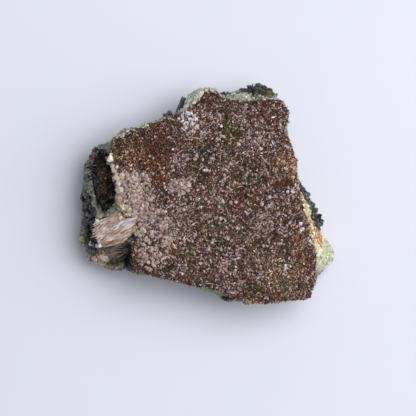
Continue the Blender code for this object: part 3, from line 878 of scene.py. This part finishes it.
PLAIN = {
    Mineral.BRICK: 0.13, Mineral.RED_BROWN: 0.16, Mineral.MAROON: 0.1, Mineral.PINK: 0.18, Mineral.LILAC: 0.1,
    Mineral.WHITE: 0.03, Mineral.OLIVE: 0.16, Mineral.GREEN: 0.06, Mineral.BLACK: 0.08,
}
RED = {
    Mineral.BRICK: 0.34, Mineral.RED_BROWN: 0.32, Mineral.OLIVE: 0.1, Mineral.PINK: 0.07, Mineral.CREAM: 0.03,
    Mineral.BLACK: 0.14,
}
PALE_PINK = {
    Mineral.PINK: 0.4, Mineral.LILAC: 0.18, Mineral.WHITE: 0.04, Mineral.CREAM: 0.16, Mineral.BRICK: 0.09,
    Mineral.OLIVE: 0.08, Mineral.BLACK: 0.05,
}
ROSY = {
    Mineral.PINK: 0.34, Mineral.LILAC: 0.2, Mineral.WHITE: 0.05, Mineral.MAROON: 0.18, Mineral.RED_BROWN: 0.11,
    Mineral.BLACK: 0.12,
}
WINE = {
    Mineral.MAROON: 0.42, Mineral.BRICK: 0.16, Mineral.PINK: 0.13, Mineral.LILAC: 0.07, Mineral.OLIVE: 0.08,
    Mineral.BLACK: 0.14,
}
MOSSY = {
    Mineral.OLIVE: 0.42, Mineral.GREEN: 0.16, Mineral.PINK: 0.1, Mineral.CREAM: 0.06, Mineral.RED_BROWN: 0.14,
    Mineral.BLACK: 0.12,
}
DUSKY = {Mineral.GREEN: 0.3, Mineral.BLACK: 0.4, Mineral.OLIVE: 0.16, Mineral.LILAC: 0.14}
TAN = {
    Mineral.CREAM: 0.2, Mineral.PINK: 0.22, Mineral.OLIVE: 0.26, Mineral.BRICK: 0.17, Mineral.ORANGE: 0.06,
    Mineral.BLACK: 0.09,
}
RUSTY = {Mineral.ORANGE: 0.34, Mineral.CREAM: 0.2, Mineral.BRICK: 0.3, Mineral.PINK: 0.16}
SNOWY = {
    Mineral.WHITE: 0.28, Mineral.LILAC: 0.34, Mineral.PINK: 0.12, Mineral.BRICK: 0.16, Mineral.BLACK: 0.1,
}


@dataclass
class DruseCrust:
    """The crust of small crystals: a bed darkened with painted shade between the grains, and thousands of separate
    grains standing in it.
    """

    bed_voxel: float = 0.52
    spacing: float = 0.68
    fine_spacing: float = 0.47
    size: tuple[float, float] = (0.5, 1.0)
    fine_size: tuple[float, float] = (0.34, 0.62)
    side_count: int = 3400
    seed: int = 4
    # Painted shade for the gaps between grains: a near-black, and how much of the minerals' colour is kept there.
    painted_gap_shade: Colour = (34, 25, 20)
    shaded_mineral_share: float = 0.26
    patches: tuple[MineralPatch, ...] = (
        MineralPatch(Patch(x=146, y=150, wide=30, high=24), RED),
        MineralPatch(Patch(x=156, y=178, wide=22, high=11, turn=50), RED),
        MineralPatch(Patch(x=131, y=156, wide=9, high=12, weight=0.5), RUSTY),
        MineralPatch(Patch(x=113, y=155, wide=5, high=12), TAN),
        MineralPatch(Patch(x=135, y=134, wide=13, high=5, weight=0.6), MOSSY),
        MineralPatch(Patch(x=171, y=124, wide=9, high=5, weight=0.6), MOSSY),
        MineralPatch(Patch(x=172, y=140, wide=7, high=8, weight=0.6), DUSKY),
        MineralPatch(Patch(x=178, y=162, wide=9, high=13, weight=0.8), ROSY),
        MineralPatch(Patch(x=160, y=194, wide=10, high=7), WINE),
        MineralPatch(Patch(x=134, y=192, wide=15, high=25), PALE_PINK),
        MineralPatch(Patch(x=146, y=214, wide=14, high=12, weight=0.8), PALE_PINK),
        MineralPatch(Patch(x=165, y=222, wide=22, high=14, weight=0.8), ROSY),
        MineralPatch(Patch(x=183, y=227, wide=8, high=9), ROSY),
        MineralPatch(Patch(x=195, y=118, wide=7, high=15, weight=0.6), RUSTY),
        MineralPatch(Patch(x=187, y=119, wide=4.5, high=14, turn=-25), SNOWY),
        MineralPatch(Patch(x=213, y=98, wide=16, high=10), WINE),
        MineralPatch(Patch(x=209, y=118, wide=9, high=8, weight=0.8), ROSY),
        MineralPatch(Patch(x=206, y=133, wide=7, high=4, weight=0.8), SNOWY),
        MineralPatch(Patch(x=232, y=134, wide=10, high=19), MOSSY),
        MineralPatch(Patch(x=202, y=156, wide=13, high=9), DUSKY),
        MineralPatch(Patch(x=199, y=171, wide=8, high=8), MOSSY),
        MineralPatch(Patch(x=241, y=112, wide=6, high=11, weight=0.8), ROSY),
        MineralPatch(Patch(x=251, y=103, wide=9, high=8, weight=0.8), WINE),
        MineralPatch(Patch(x=269, y=112, wide=16, high=13, weight=0.6), WINE),
        MineralPatch(Patch(x=264, y=137, wide=16, high=9), ROSY),
        MineralPatch(Patch(x=253, y=147, wide=5, high=4, weight=0.8), SNOWY),
        MineralPatch(Patch(x=281, y=163, wide=10, high=9, weight=0.5), RUSTY),
        MineralPatch(Patch(x=293, y=160, wide=6, high=20), RUSTY),
        MineralPatch(Patch(x=284, y=184, wide=8, high=6), RED),
        MineralPatch(Patch(x=250, y=178, wide=14, high=17), MOSSY),
        MineralPatch(Patch(x=237, y=205, wide=9, high=12), WINE),
        MineralPatch(Patch(x=214, y=198, wide=9, high=17, weight=0.8), TAN),
        MineralPatch(Patch(x=184, y=197, wide=7, high=5, weight=0.7), DUSKY),
        MineralPatch(Patch(x=183, y=186, wide=8, high=5), PALE_PINK),
        MineralPatch(Patch(x=171, y=190, wide=5, high=3), PALE_PINK),
        MineralPatch(Patch(x=214, y=229, wide=16, high=8, weight=0.8), MOSSY),
        MineralPatch(Patch(x=219, y=246, wide=8, high=6, weight=0.7), DUSKY),
        MineralPatch(Patch(x=241, y=234, wide=8, high=8, weight=0.8), MOSSY),
        MineralPatch(Patch(x=176, y=240, wide=14, high=9), ROSY),
        MineralPatch(Patch(x=150, y=250, wide=15, high=14, weight=0.8), ROSY),
        MineralPatch(Patch(x=141, y=269, wide=12, high=6), WINE),
        MineralPatch(Patch(x=168, y=268, wide=7, high=6, weight=0.7), DUSKY),
        MineralPatch(Patch(x=187, y=252, wide=8, high=5, weight=0.8), MOSSY),
        MineralPatch(Patch(x=263, y=223, wide=10, high=15), ROSY),
        MineralPatch(Patch(x=294, y=219, wide=10, high=7), WINE),
        MineralPatch(Patch(x=258, y=247, wide=10, high=8, weight=0.8), MOSSY),
        MineralPatch(Patch(x=263, y=262, wide=13, high=8), TAN),
        MineralPatch(Patch(x=228, y=262, wide=13, high=5, turn=-40), ROSY),
        MineralPatch(Patch(x=211, y=271, wide=8, high=8, weight=0.8), WINE),
        MineralPatch(Patch(x=205, y=284, wide=10, high=5, weight=0.8), MOSSY),
        MineralPatch(Patch(x=235, y=270, wide=6, high=6, weight=0.8), MOSSY),
        MineralPatch(Patch(x=230, y=288, wide=9, high=8), ROSY),
        MineralPatch(Patch(x=257, y=290, wide=10, high=6, weight=0.8), MOSSY),
        MineralPatch(Patch(x=288, y=278, wide=20, high=18, weight=0.7), TAN),
        MineralPatch(Patch(x=300, y=250, wide=9, high=22, weight=0.5), RUSTY),
        MineralPatch(Patch(x=253, y=302, wide=9, high=3), RUSTY),
    )
    families: dict[str, tuple[Mineral, ...]] = field(default_factory=lambda: {
        "garnet_grains": (Mineral.BRICK, Mineral.RED_BROWN, Mineral.MAROON),
        "green_grains": (Mineral.OLIVE, Mineral.GREEN, Mineral.BLACK),
        "pale_grains": (Mineral.PINK, Mineral.LILAC, Mineral.WHITE, Mineral.CREAM, Mineral.ORANGE),
    })
    forms: dict[str, tuple[Form, Colour, MineralFinish]] = field(default_factory=lambda: {
        "garnet_grains": (Form.SHARD, (0.85, 0.75, 1.3), MineralFinish("garnet_grains", (0.25, 0.5), 2500.0, 0.18, 0.1, 0.1, 0.15, 0.05, 0.1, 0.3)),
        "green_grains": (Form.SHARD, (0.75, 0.65, 1.5), MineralFinish("green_grains", (0.3, 0.55), 2500.0, 0.2, 0.1, 0.1, 0.15, 0.05, 0.1, 0.3)),
        "pale_grains": (Form.SHARD, (0.85, 0.7, 1.4), MineralFinish("pale_grains", (0.35, 0.6), 2500.0, 0.14, 0.1, 0.1, 0.15, 0.05, 0.05, 0.3)),
    })

    def build(self) -> bpy.types.Object:
        """Make the bed and its grains.

        Returns:
            The bed piece.
        """
        bed = MeshWork.skin("druse_bed", "druse_crust", self.bed_voxel, "red_brown_druse")
        points = MeshWork.points(bed)
        normals = MeshWork.normals(bed)
        points += normals * self.relief(points)[:, None]
        MeshWork.move(bed, points)
        palette = np.array([linear(mineral.value) for mineral in Mineral])
        # Painted shade between the grains: the minerals' colour cut to about a quarter, mixed half and half with the
        # near-black.
        own = self.mixes(points) @ palette * self.shaded_mineral_share
        tone = (0.5 * own + 0.5 * linear(self.painted_gap_shade)) * (1 + 0.6 * Fields.lumps(points, 1.2, 8.0)[:, None])
        MeshWork.tint(bed, tone)
        MineralFinish("druse_bed_painted_shade", (0.6, 0.9), 1500.0, 0.5, 0.3, 0.05, 0.6, 0.25, 0.0, 0.12).dress(bed)
        log.info("druse_bed: %d faces", len(bed.data.polygons))
        self.grow(Ground(bed))
        return bed

    @staticmethod
    def relief(points: np.ndarray) -> np.ndarray:
        """How far the bed stands out from its solid: clumps, and pits between them.

        Args:
            points: places in millimetres.

        Returns:
            One height for each place, in millimetres.
        """
        clumps = 0.34 * Fields.lumps(points, 3.4, 6.0) + 0.26 * (0.5 - Fields.cells(points, 1.9, 3.0))
        pits = 0.4 * np.clip(Fields.lumps(points, 1.6, 17.0, 2) * 2.0 - 0.6, 0, 1)
        return clumps - pits - 0.2

    def grow(self, ground: Ground) -> None:
        """Stand the grains on the bed.

        Args:
            ground: the bed's surface.
        """
        rng = np.random.default_rng(self.seed)
        low, high = (np.array(corner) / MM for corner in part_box("druse_crust"))
        layers = (
            (*ground.below(self.grid(low, high, self.spacing, rng)), self.size),
            (*ground.below(self.grid(low, high, self.fine_spacing, rng)), self.fine_size),
            (*ground.over(self.side_count, 0.5, low[2] + 0.2, rng), self.size),
        )
        places = np.concatenate([layer[0] for layer in layers])
        ways = np.concatenate([layer[1] for layer in layers])
        sizes = np.concatenate([rng.uniform(*layer[2], len(layer[0])) for layer in layers])
        minerals = self.choose(places, rng)
        names = list(Mineral)
        palette = np.array([linear(mineral.value) for mineral in names])
        for number, (family, members) in enumerate(self.families.items()):
            form, stretch, finish = self.forms[family]
            chosen = np.isin(minerals, [names.index(member) for member in members])
            count = int(chosen.sum())
            shade = rng.uniform(0.5, 1.3, (count, 1)) * rng.uniform(0.94, 1.06, (count, 3))
            grains = GrainMesh(self.seed + number)
            grains.lots.append(Lot(
                form,
                places[chosen] + ways[chosen] * (0.1 * sizes[chosen])[:, None],
                turns_towards(ways[chosen], 1.4, rng),
                sizes[chosen][:, None] * stretch * rng.uniform(0.75, 1.25, (count, 3)),
                palette[minerals[chosen]] * shade,
            ))
            finish.dress(grains.build(family, "red_brown_druse"))

    @staticmethod
    def grid(low: np.ndarray, high: np.ndarray, spacing: float, rng: np.random.Generator) -> np.ndarray:
        """Points over the crust's box, evenly spread but not in rows.

        Args:
            low: the box's lowest corner.
            high: its highest corner.
            spacing: usual distance between points.
            rng: source of their shifts.

        Returns:
            One row of x and y for each point.
        """
        xs = np.arange(low[0], high[0], spacing)
        ys = np.arange(low[1], high[1], spacing)
        points = np.stack(np.meshgrid(xs, ys), -1).reshape(-1, 2)
        return points + rng.uniform(-0.48, 0.48, points.shape) * spacing

    def mixes(self, places: np.ndarray) -> np.ndarray:
        """Shares of the minerals at each place, from the patches round it.

        Args:
            places: the places in millimetres.

        Returns:
            One row for each place, with a share for each member of Mineral.
        """
        minerals = list(Mineral)
        mixes = np.array([[PLAIN.get(mineral, 0.0) for mineral in minerals]] * len(places))
        pixels = PHOTO.to_px(places)
        pixels = pixels + 3.5 * np.stack([Fields.lumps(places, 5.0, 40.0), Fields.lumps(places, 5.0, 43.0)], 1)
        for item in self.patches:
            share = item.patch.cover(pixels)[:, None]
            mixes = (1 - share) * mixes + share * np.array([item.mix.get(mineral, 0.0) for mineral in minerals])
        return mixes

    def choose(self, places: np.ndarray, rng: np.random.Generator) -> np.ndarray:
        """Pick each grain's mineral, so that like grains keep together in clumps.

        Args:
            places: the grains' places in millimetres.
            rng: source of the choice.

        Returns:
            A number for each grain, its mineral's place in Mineral.
        """
        kinds = len(Mineral)
        clumps = np.stack([Fields.lumps(places, 2.6, 50.0 + 7 * i, 2) for i in range(kinds)], 1)
        mixes = self.mixes(places) * np.exp(2.0 * clumps)
        mixes /= mixes.sum(1)[:, None]
        return (mixes.cumsum(1) < rng.uniform(0, 1, (len(places), 1))).sum(1).clip(0, kinds - 1)


@dataclass
class FibrousLedge:
    """The pink-tan ledge, streaked along its fibres, with painted highlight on its raised fibres and painted shade on
    its downward faces.
    """

    voxel: float = 0.3
    angle: float = 27.0
    base: Colour = (190, 164, 148)
    # pale: the painted highlight colour of the raised fibres.
    pale: Colour = (214, 202, 198)
    rust: Colour = (160, 116, 92)
    # shade: the painted shade colour for the faces that turn downward.
    shade: Colour = (116, 100, 90)

    def build(self) -> bpy.types.Object:
        """Make the ledge's streaked surface over its solid.

        Returns:
            The ledge piece.
        """
        ledge = MeshWork.skin("ledge_fibres", "fibrous_ledge", self.voxel, "pink_tan_fibres")
        points = MeshWork.points(ledge)
        normals = MeshWork.normals(ledge)
        turn = math.radians(self.angle)
        bend = 0.9 * Fields.lumps(points, 6.0, 58.0)
        along = points[:, 0] * math.cos(turn) + points[:, 1] * math.sin(turn)
        across = points[:, 0] * math.sin(turn) - points[:, 1] * math.cos(turn) + bend
        fibres = np.stack([along / 9.0, across, points[:, 2] / 3.0], 1)
        broad = Fields.lumps(fibres, 2.6, 66.0, 2)
        coarse = Fields.lumps(fibres, 0.9, 60.0, 2)
        fine = Fields.lumps(fibres, 0.4, 63.0, 2)
        points += normals * (0.5 * broad + 0.22 * coarse + 0.12 * fine)[:, None]
        MeshWork.move(ledge, points)
        tone = np.repeat(linear(self.base)[None], len(points), axis=0)
        # Painted highlight: the higher the fibres stand, the more they take the pale colour.
        light = np.clip(0.5 * broad + 0.9 * coarse + 0.8 * fine, 0, 1)[:, None]
        tone = (1 - light) * tone + light * linear(self.pale)
        rust = np.clip(2.2 * Fields.lumps(fibres, 1.3, 71.0, 2) - 0.5, 0, 1)[:, None] * 0.7
        tone = (1 - rust) * tone + rust * linear(self.rust)
        # Painted shade: faces that turn downward are blended towards the shade colour.
        low = np.clip(0.3 - 0.7 * normals[:, 2], 0, 1)[:, None]
        tone = (1 - low) * tone + low * linear(self.shade)
        MeshWork.tint(ledge, tone)
        MineralFinish("silky_fibres", (0.4, 0.65), 1300.0, 0.2, 0.1, 0.15, 0.3, 0.1).dress(ledge)
        log.info("ledge_fibres: %d faces", len(ledge.data.polygons))
        return ledge


@dataclass
class PocketCrystals:
    """The dark crust in the hollow."""

    voxel: float = 0.35

    def build(self) -> bpy.types.Object:
        """Make the crust.

        Returns:
            The crust piece.
        """
        crust = MeshWork.skin("pocket_crust", "pocket_crystals", self.voxel, "dark_brown_crystals")
        points = MeshWork.points(crust)
        points += MeshWork.normals(crust) * (0.5 * Fields.lumps(points, 2.4, 77.0))[:, None]
        MeshWork.move(crust, points)
        tone = linear((56, 48, 42)) * (1 + 0.6 * Fields.lumps(points, 1.6, 80.0)[:, None])
        MeshWork.tint(crust, tone)
        MineralFinish("pocket_ground", (0.4, 0.7), 1500.0, 0.4, 0.3, 0.2, 0.5, 0.2).dress(crust)
        log.info("pocket_crust: %d faces", len(crust.data.polygons))
        return crust


@dataclass
class BladeCluster:
    """A group of dark blades over their solid."""

    node: str
    name: str
    slot: str
    dark: Colour
    sheen: Colour
    bevel: float = 0.09

    def build(self) -> bpy.types.Object:
        """Make the blades with softened edges.

        Returns:
            The cluster piece.
        """
        mesh = MeshWork.shaped(
            self.node, "BEVEL", width=self.bevel * MM, segments=1, limit_method="ANGLE", angle_limit=math.radians(25),
        )
        obj = MeshWork.add(self.name, mesh, self.slot)
        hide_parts(self.node)
        points = MeshWork.points(obj)
        share = np.clip(0.3 + 0.9 * Fields.lumps(points, 2.2, 90.0), 0, 1)[:, None]
        MeshWork.tint(obj, (1 - share) * linear(self.dark) + share * linear(self.sheen))
        MineralFinish(self.name, (0.22, 0.45), 1800.0, 0.3, 0.1, 0.08, 0.25, 0.06, 0.35).dress(obj)
        log.info("%s: %d faces", self.name, len(obj.data.polygons))
        return obj


BLACKS = ((30, 30, 32), (44, 46, 50), (22, 22, 22))
SLATES = ((36, 38, 42), (58, 62, 68), (82, 88, 94), (24, 24, 26))
GREY_GREENS = ((118, 124, 110), (144, 148, 134), (92, 100, 88))
PALE_ROCKS = ((176, 178, 162), (204, 202, 188), (150, 156, 138), (122, 128, 112))
CREAMS = ((222, 210, 180), (204, 186, 150), (234, 226, 206), (184, 150, 108))
PINKS = ((174, 148, 142), (184, 166, 166), (160, 132, 126), (190, 170, 156))
OCHRES = ((176, 122, 70), (198, 150, 98), (150, 98, 58))
RUSTS = ((98, 64, 50), (82, 58, 46), (116, 84, 66), (66, 54, 46))
SILKS = ((196, 174, 160), (206, 190, 180), (188, 162, 146), (216, 204, 198))
OLIVES = ((86, 86, 58), (108, 104, 76), (60, 64, 48))

DARK_GLOSS = MineralFinish("dark_crystal_grains", (0.18, 0.42), 2000.0, 0.3, 0.1, 0.06, 0.2, 0.05, 0.35)
DULL = MineralFinish("dull_grains", (0.5, 0.75), 1800.0, 0.25, 0.2, 0.15, 0.3, 0.08)
SILKY = MineralFinish("splinter_silk", (0.35, 0.6), 1600.0, 0.2, 0.05, 0.15, 0.25, 0.06)

STANDS = (
    GrainStand("hollow_grains", "dark_brown_crystals", DARK_GLOSS, (
        Growth(Form.BLADE, 150, (0.8, 1.7), BLACKS, (
            Patch(x=104, y=203, wide=7, high=8), Patch(x=92, y=172, wide=3.5, high=12),
            Patch(x=113, y=182, wide=3, high=14), Patch(x=100, y=151, wide=6, high=2)), (0.6, 0.6, 1.2), highest=22.0),
        Growth(Form.SHARD, 230, (0.5, 1.0), RUSTS, (
            Patch(x=98, y=155, wide=6, high=3.5), Patch(x=104, y=181, wide=8, high=12)), highest=22.0),
        Growth(Form.SHARD, 110, (0.5, 1.0), ((66, 70, 76), (84, 84, 82), (52, 48, 46)), (
            Patch(x=101, y=180, wide=11, high=24),), highest=22.0),
    ), 21),
    GrainStand("left_crystal_grains", "black_epidote", DARK_GLOSS, (
        Growth(Form.PRISM, 170, (0.8, 1.7), SLATES, (
            Patch(x=87, y=203, wide=3, high=12, turn=-12), Patch(x=92, y=213, wide=5, high=6),
            Patch(x=91, y=223, wide=5, high=5), Patch(x=94, y=240, wide=3, high=11),
            Patch(x=93, y=251, wide=2, high=3)), (0.85, 0.85, 1.1)),
        Growth(Form.SHARD, 120, (0.5, 1.1), OLIVES, (
            Patch(x=83, y=226, wide=3, high=7), Patch(x=86, y=238, wide=3, high=6),
            Patch(x=106, y=251, wide=5, high=5), Patch(x=113, y=263, wide=8, high=3))),
        # A few white grains that stand for painted glints on the dark crystals.
        Growth(Form.SHARD, 10, (0.6, 1.0), ((226, 226, 232),), (
            Patch(x=91, y=243, wide=2, high=3), Patch(x=97, y=220, wide=2, high=2))),
    ), 22),
    GrainStand("rim_grains", "pale_green_matrix", DULL, (
        Growth(Form.BLOCK, 240, (0.5, 1.0), GREY_GREENS, (
            Patch(x=94, y=152, wide=13, high=3, turn=-46), Patch(x=87, y=174, wide=2.5, high=13),
            Patch(x=93, y=200, wide=12, high=3, turn=60), Patch(x=112, y=208, wide=7, high=4),
            Patch(x=111, y=196, wide=4, high=3)), highest=22.0, sink=0.3),
        Growth(Form.BLOCK, 110, (0.5, 1.0), ((150, 144, 126), (168, 158, 138), (120, 118, 102)), (
            Patch(x=82, y=237, wide=2, high=12), Patch(x=88, y=257, wide=2.5, high=8, turn=-40)), sink=0.3),
        Growth(Form.BLOCK, 120, (0.6, 1.2), ((206, 192, 178), (178, 152, 140), (134, 98, 82), (182, 178, 162)), (
            Patch(x=101, y=259, wide=8, high=5),), sink=0.2),
        Growth(Form.BLOCK, 60, (0.5, 1.0), ((178, 160, 136), (150, 138, 118), (120, 110, 92)), (
            Patch(x=112, y=268, wide=16, high=1.5),), sink=0.3),
        Growth(Form.BLOCK, 110, (0.5, 1.1), ((206, 206, 192), (184, 188, 172), (222, 220, 210)), (
            Patch(x=197, y=97, wide=10, high=3, turn=-52),), sink=0.3),
        Growth(Form.BLOCK, 260, (0.4, 0.9), PALE_ROCKS, (
            Patch(x=252, y=95, wide=28, high=3), Patch(x=142, y=127, wide=42, high=1.5, turn=-23)), sink=0.3),
        Growth(Form.BLOCK, 60, (0.5, 1.0), ((204, 192, 168), (178, 176, 150)), (
            Patch(x=210, y=90, wide=8, high=2),), sink=0.2),
        Growth(Form.BLOCK, 200, (0.4, 0.9), ((150, 150, 126), (172, 168, 146), (116, 118, 96)), (
            Patch(x=190, y=291, wide=42, high=2, turn=13),), sink=0.3),
        Growth(Form.BLOCK, 300, (0.4, 0.9), CREAMS, (
            Patch(x=308, y=213, wide=22, high=3.5, turn=70), Patch(x=318, y=240, wide=9, high=9)), sink=0.3),
        Growth(Form.SHARD, 90, (0.4, 0.8), OCHRES, (
            Patch(x=317, y=236, wide=12, high=4, turn=66), Patch(x=253, y=302, wide=7, high=2))),
        Growth(Form.BLOCK, 120, (0.4, 0.9), ((200, 204, 176), (184, 190, 158), (214, 212, 190)), (
            Patch(x=328, y=256, wide=7, high=8),), sink=0.35),
    ), 23),
    GrainStand("edge_crystal_grains", "grey_green_epidote", DARK_GLOSS, (
        Growth(Form.PRISM, 380, (0.5, 1.1), ((54, 60, 58), (74, 82, 78), (40, 44, 42), (92, 98, 94)), (
            Patch(x=309, y=206, wide=27, high=3, turn=65),), (0.85, 0.85, 1.1), highest=21.0, sink=0.2),
        Growth(Form.PRISM, 50, (0.6, 1.2), BLACKS, (
            Patch(x=320, y=219, wide=4, high=2, turn=60), Patch(x=228, y=298, wide=7, high=2))),
        Growth(Form.BLADE, 230, (0.6, 1.4), ((42, 44, 44), (64, 66, 66), (30, 30, 30), (82, 84, 84)), (
            Patch(x=258, y=90, wide=12, high=4), Patch(x=225, y=95, wide=6, high=2)), (0.75, 0.75, 1.1), highest=22.0, sink=0.2),
        Growth(Form.BLOCK, 70, (0.5, 1.0), ((92, 72, 46), (74, 72, 46), (118, 92, 60)), (
            Patch(x=268, y=94, wide=6, high=3),), highest=22.0),
        Growth(Form.BLOCK, 24, (0.5, 1.0), ((56, 58, 60), (80, 82, 84)), (
            Patch(x=168, y=114, wide=4, high=2), Patch(x=243, y=90, wide=4, high=1.5)), highest=22.0),
    ), 24),
    GrainStand("ledge_splinters", "pink_tan_fibres", SILKY, (
        Growth(Form.SPLINTER, 260, (2.0, 4.6), SILKS, (
            Patch(x=115, y=228, wide=18, high=11),), (0.16, 0.1, 1.0), 0.07, 27.0, 0.4, highest=27.0),
        # Pale splinters along a fibre ridge: painted highlight.
        Growth(Form.SPLINTER, 46, (1.8, 3.6), ((222, 216, 218), (208, 198, 200)), (
            Patch(x=126, y=222, wide=11, high=1.6, turn=-25),), (0.2, 0.16, 1.0), 0.07, 27.0),
        # Orange-brown streaks; the upper one, under the pale ridge, is also a painted shade line.
        Growth(Form.SPLINTER, 40, (2.0, 4.0), ((176, 128, 100), (156, 114, 92)), (
            Patch(x=117, y=240, wide=10, high=1.2, turn=-18), Patch(x=126, y=231, wide=6, high=1.2, turn=-22)),
            (0.13, 0.1, 1.0), 0.08, 24.0, 0.3),
        # Greyish-brown fibres under the ledge, darkened with painted shade.
        Growth(Form.SPLINTER, 190, (1.6, 3.8), ((118, 104, 94), (98, 86, 78), (140, 124, 112)), (
            Patch(x=121, y=251, wide=9, high=8),), (0.16, 0.12, 1.0), 0.15, 20.0, highest=20.0),
        # Painted shade: near-black splinters in the cavity under the ledge.
        Growth(Form.SPLINTER, 60, (1.4, 3.0), ((34, 32, 30), (48, 44, 42)), (
            Patch(x=129, y=257, wide=3.5, high=13),), (0.25, 0.2, 1.0), 0.3, 70.0, highest=20.0),
        Growth(Form.BLOCK, 34, (0.7, 1.3), ((224, 216, 208), (208, 192, 180)), (
            Patch(x=97, y=221, wide=2.5, high=2), Patch(x=98, y=236, wide=1.6, high=8),
            Patch(x=99, y=247, wide=2.5, high=2))),
    ), 25),
    GrainStand("druse_lumps", "red_brown_druse", DULL, (
        Growth(Form.GARNET, 70, (1.1, 2.3), ((206, 188, 170), (214, 204, 194), (190, 168, 146)), (
            Patch(x=110, y=159, wide=4, high=5), Patch(x=116, y=168, wide=4, high=4),
            Patch(x=119, y=178, wide=4, high=6), Patch(x=120, y=196, wide=3.5, high=8),
            Patch(x=123, y=207, wide=4, high=4)), sink=0.4),
        Growth(Form.GARNET, 330, (0.8, 1.6), PINKS, (
            Patch(x=135, y=196, wide=18, high=26), Patch(x=180, y=187, wide=11, high=8)), (0.9, 0.8, 1.2), sink=0.4),
        Growth(Form.GARNET, 150, (0.8, 1.6), PINKS, (
            Patch(x=152, y=240, wide=20, high=32),), (0.9, 0.8, 1.2), sink=0.3),
        Growth(Form.GARNET, 90, (0.8, 1.5), ((192, 182, 150), (206, 190, 168), (164, 160, 124)), (
            Patch(x=124, y=212, wide=7, high=7), Patch(x=140, y=231, wide=6, high=5)), sink=0.3),
        Growth(Form.GARNET, 260, (0.7, 1.4), PINKS, (
            Patch(x=225, y=190, wide=75, high=85),), (0.9, 0.8, 1.2), sink=0.3),
        Growth(Form.SHARD, 90, (0.7, 1.3), ((222, 218, 218), (200, 198, 206)), (
            Patch(x=189, y=122, wide=9, high=13, turn=-30), Patch(x=292, y=190, wide=5, high=4),
            Patch(x=302, y=227, wide=3, high=4), Patch(x=288, y=267, wide=6, high=3),
            Patch(x=220, y=128, wide=3, high=3), Patch(x=206, y=170, wide=3, high=2))),
        Growth(Form.SPLINTER, 330, (1.3, 2.8), ((190, 174, 166), (172, 154, 136), (146, 134, 104)), (
            Patch(x=225, y=200, wide=82, high=85),), (0.13, 0.11, 1.0), 0.5, 45.0),
    ), 26),
)


@dataclass
class Studio:
    """The pale floor, the soft light and the camera straight above."""

    floor_dark: Colour = (216, 219, 233)
    floor_pale: Colour = (222, 224, 238)
    lens: float = 500.0
    sensor: float = 36.0
    druse_height: float = 21.0
    photo_width: float = 416.0
    room_light: float = 0.34
    ceiling_place: Colour = (0.4, 0.2, 1.15)
    ceiling_size: float = 0.8
    ceiling_power: float = 11.0
    window_place: Colour = (0.62, 0.1, 0.5)
    window_size: float = 0.5
    window_power: float = 2.0

    def build(self) -> None:
        """Set the floor, the lamp, the surroundings and the camera."""
        scene = bpy.context.scene
        scene.view_settings.view_transform = "Standard"
        self.floor()
        world = bpy.data.worlds.new("soft_room")
        world.use_nodes = True
        back = world.node_tree.nodes["Background"]
        back.inputs[0].default_value = (0.97, 0.985, 1.0, 1.0)
        back.inputs[1].default_value = self.room_light
        scene.world = world
        self.lamp("ceiling_light", self.ceiling_place, self.ceiling_size, self.ceiling_power)
        self.lamp("window_light", self.window_place, self.window_size, self.window_power)
        self.camera()

    def floor(self) -> None:
        """Lay the pale sheet on which the specimen lies."""
        bpy.ops.mesh.primitive_plane_add(size=3.0)
        sheet = bpy.context.object
        sheet.name = "pale_sheet"
        material = bpy.data.materials.new("pale_paper")
        material.use_nodes = True
        nodes = Nodes(material.node_tree)
        paper = nodes.add("TexNoise", {"Scale": 60.0, "Detail": 3.0})
        low, high = ((*linear(colour), 1.0) for colour in (self.floor_dark, self.floor_pale))
        nodes.fill(material.node_tree.nodes["Principled BSDF"], {
            "Base Color": nodes.blend(paper.outputs["Fac"], low, high), "Roughness": 0.9,
        })
        sheet.data.materials.append(material)

    @staticmethod
    def lamp(name: str, place: Colour, size: float, power: float) -> None:
        """Hang a square soft lamp that faces the specimen.

        Args:
            name: the lamp's name.
            place: where it hangs, in metres.
            size: its side, in metres.
            power: its power in watts.
        """
        data = bpy.data.lights.new(name, "AREA")
        data.size = size
        data.energy = power
        data.color = (1.0, 0.99, 0.98)
        lamp = bpy.data.objects.new(name, data)
        lamp.location = place
        lamp.rotation_euler = (-Vector(place)).to_track_quat("-Z", "Y").to_euler()
        bpy.context.scene.collection.objects.link(lamp)

    def camera(self) -> None:
        """Look straight down, so that the photograph's frame is kept at the druse's height."""
        data = bpy.data.cameras.new("camera")
        data.lens = self.lens
        data.sensor_width = self.sensor
        data.clip_end = 10.0
        distance = self.photo_width * PHOTO.mm_per_px * self.lens / self.sensor
        camera = bpy.data.objects.new("camera", data)
        x, y = PHOTO.to_mm(self.photo_width / 2, self.photo_width / 2)
        camera.location = (x * MM, y * MM, (self.druse_height + distance) * MM)
        bpy.context.scene.collection.objects.link(camera)
        bpy.context.scene.camera = camera


def main() -> None:
    """Dress the specimen and set it in its studio."""
    logging.basicConfig(level=logging.INFO, format="%(message)s")
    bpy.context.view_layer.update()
    pieces = [
        MatrixRock().build(),
        DruseCrust().build(),
        FibrousLedge().build(),
        PocketCrystals().build(),
        BladeCluster("spear_crystals", "spear_blades", "grey_black_epidote", (46, 48, 50), (84, 88, 90)).build(),
        BladeCluster("rear_crystals", "rear_blades", "green_black_epidote", (38, 40, 38), (76, 78, 76)).build(),
        BladeCluster("flank_crystals", "flank_blades", "grey_green_epidote", (56, 62, 58), (96, 104, 100)).build(),
        BladeCluster("left_crystals", "left_blades", "black_epidote", (30, 32, 34), (72, 76, 80)).build(),
    ]
    ground = Ground(*pieces)
    for stand in STANDS:
        stand.build(ground)
    Studio().build()


if __name__ == "__main__":
    main()
